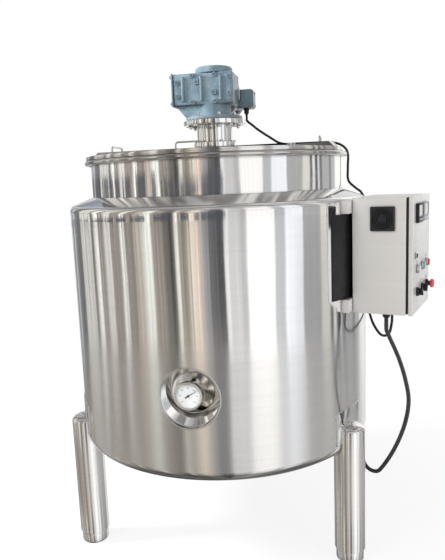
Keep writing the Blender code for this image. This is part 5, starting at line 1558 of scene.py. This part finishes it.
def makeDisplay(node, name, column, finish):
    across, up = display["size"][0] / 2, display["size"][1] / 2
    place = onPanel(column, display["drop"])
    proud = display["proud"]
    case = sheetBox(name + "Case", (-across, -up, 0), (across, up, proud), display["edge"], 3)
    frameWidth = display["frame"]
    pocket = sheetBox("pocket", (-across + frameWidth, -up + display["foot"], proud - display["recess"]),
                      (across - frameWidth, up - frameWidth, proud + 0.01))
    cutBy(case, pocket)
    asNode(case, node, finish)
    case.data.transform(place)
    inset = display["windowFrame"]
    window = sheetBox(name + "Window",
                      (-across + inset, -up + display["windowFoot"], proud - display["windowBack"]),
                      (across - inset, up - inset, proud - display["windowFront"]), 0.0004)
    window.data.transform(place)
    dress(window, "screen", "cabinet_door")
    wide, tall, thick = display["keySize"]
    key = sheetBox("key", (-wide / 2, -tall / 2, 0), (wide / 2, tall / 2, thick), 0.0007, 2)
    places = [place @ Matrix.Translation((x, -up + display["keyRise"], proud - 0.0002))
              for x in display["keys"]]
    tone = "grey" if finish == "black" else "powder"
    scatter(name + "Keys", key, places, tone, "cabinet_door")


def makeDoor():
    refine("cabinet_door", "door", 0.0014, 3)
    refine("door_gasket", "rubber", 0.0010)
    refine("door_lock", "bolt", 0.0010, 3)
    line = bentLine([(0.0012, 0), (0.0072, 0), (0.0072, 0.0022), (0.0012, 0.0022)], [0.0003, 0.0006], 4)
    barrel = lathe("lockBarrel", line, 40, "filled")
    long, wide = panel["slit"]
    cutBy(barrel, sheetBox("slit", (-long / 2, -wide / 2, 0.0008), (long / 2, wide / 2, 0.01)))
    smoothBy(barrel, 36)
    barrel.data.transform(onPanel(panel["lockPlace"], panel["lockDrop"], panel["lockProud"]))
    dress(barrel, "black", "cabinet_door")


def makeControls():
    for node, (column, finish) in display["columns"].items():
        makeDisplay(node, node.split("_")[0] + "Display", column, finish)
    left, middle, right = panel["columns"]
    upper, lower = panel["drops"]
    makePush("signal_lamp", "signalLamp", left, upper, "powder")
    makePush("start_button", "startButton", middle, upper, "teal")
    makePush("stop_button", "stopButton", right, upper, "red")
    makeSelector("heating_selector", "heatingSelector", left, lower, 35)
    makeSelector("mixer_selector", "mixerSelector", middle, lower, -35)
    makeStop()
    wide, tall, thick = panel["label"]
    label = sheetBox("label", (-wide / 2, -tall / 2, 0), (wide / 2, tall / 2, thick), 0.0003)
    places = [onPanel(column, drop - panel["labelRise"]) for column in panel["columns"]
              for drop in panel["drops"]]
    scatter("controlLabels", label, places, "powder", "cabinet_door")


def makeFan():
    refine("fan_grille", "black", 0.0010)
    side = panel["shift"] - panel["width"] / 2 - panel["fanThick"]
    centre = Vector((side, panel["rear"] - panel["fanDepth"], panel["top"] - panel["fanDrop"]))
    place = cabinetTurn() @ facing(centre, (-1, 0, 0))
    wires = []
    for radius in panel["fanRings"]:
        path = [place @ Vector((x, y, 0.0004)) for x, y in circle(radius, 40)]
        wires.append(tubeAlong("wire", path, panel["fanRingWire"], 2))
    for spoke in range(panel["fanSpokes"]):
        turn = math.radians(45 + 90 * spoke)
        path = [place @ Vector((reach * math.cos(turn), reach * math.sin(turn), -0.0006))
                for reach in panel["fanSpoke"]]
        wires.append(tubeAlong("spoke", path, panel["fanSpokeWire"], 2))
    dress(joinAll("fanWires", wires), "black")
    screw = socketScrew(0.0028, 0.0018)
    places = [place @ Matrix.Translation((x * panel["fanScrew"], y * panel["fanScrew"], 0))
              for x in (-1, 1) for y in (-1, 1)]
    scatter("fanScrews", screw, places, "black")


def makeCabinet():
    refine("cabinet_body", "sheet", 0.0012)
    refine("cabinet_bracket_upper", "door", 0.0008)
    refine("cabinet_bracket_lower", "door", 0.0008)
    refine("mounting_plate", "powder", 0.0006)
    refine("switchgear", "grey", 0.0008)
    hinge = jointPlace("cabinet_door_hinge")
    pin = prism("pin", 20, 0.0026, 0.0620, 0.0004)
    heights = (panel["top"] - panel["hingeInset"], panel["top"] - panel["height"] + panel["hingeInset"])
    places = [Matrix.Translation((hinge.x, hinge.y, height - 0.0300)) for height in heights]
    scatter("doorHingePins", pin, places)


rail = {
    "left": 0.062, "out": 0.0881, "up": 0.1225,  # the first unit, from the cabinet's left, back and bottom
    "units": 9, "width": 0.0196, "screwRise": 0.030, "step": 0.026,
}


def makeSwitches():  # rocker and screws of each unit on the rail
    left = panel["shift"] - panel["width"] / 2 + rail["left"]
    nose = panel["rear"] - rail["out"]
    middle = panel["top"] - panel["height"] + rail["up"]
    lever = sheetBox("lever", (-0.0045, -0.0055, -0.001), (0.0045, 0.0055, 0.0060), 0.0012, 2)
    screw = socketScrew(0.0030, 0.0016)
    levers, screws = [], []
    for unit in range(rail["units"]):
        x = left + (unit + 0.5) * rail["width"]
        levers.append(cabinetTurn() @ facing((x, nose, middle), (0, -1, 0)))
        for rise in (-rail["screwRise"], rail["screwRise"]):
            screws.append(cabinetTurn() @ facing((x, nose + rail["step"], middle + rise), (0, -1, 0)))
    scatter("breakerLevers", lever, levers, "black")
    scatter("breakerScrews", screw, screws)


# painted shade: a black sheet where the jacket only mirrors the shaded back of the cabinet
mat = {"gap": 0.0015, "thick": 0.0024, "reach": 21.5, "edge": 0.0007}  # reach in degrees to each side


def makePaintedShadeSheet():  # a black sheet on the jacket behind the cabinet, between the brackets: painted shade, for the dark reflection of the cabinet's shaded back
    low = highOf("cabinet_bracket_lower").z + mat["gap"]
    high = lowOf("cabinet_bracket_upper").z - mat["gap"]
    inner, outer = tank["jacketRadius"] + tank["touch"], tank["jacketRadius"] + mat["thick"]
    sheet = lathe("jacketShadeSheet", [(outer, high), (outer, low), (inner, low), (inner, high)], 360, "joined")
    side = outer * math.sin(math.radians(mat["reach"]))
    wedge = sheetBox("wedge", (-side, -0.6, low - 0.05), (side, -0.4, high + 0.05))
    wedge.data.transform(cabinetTurn())
    cutBy(sheet, wedge, "INTERSECT")
    softenEdges(sheet, mat["edge"], 2, 50)
    smoothBy(sheet, 36)
    dress(sheet, "mat")


makeDoor()
makeControls()
makeFan()
makeCabinet()
makeSwitches()
makePaintedShadeSheet()
print("cabinet made")
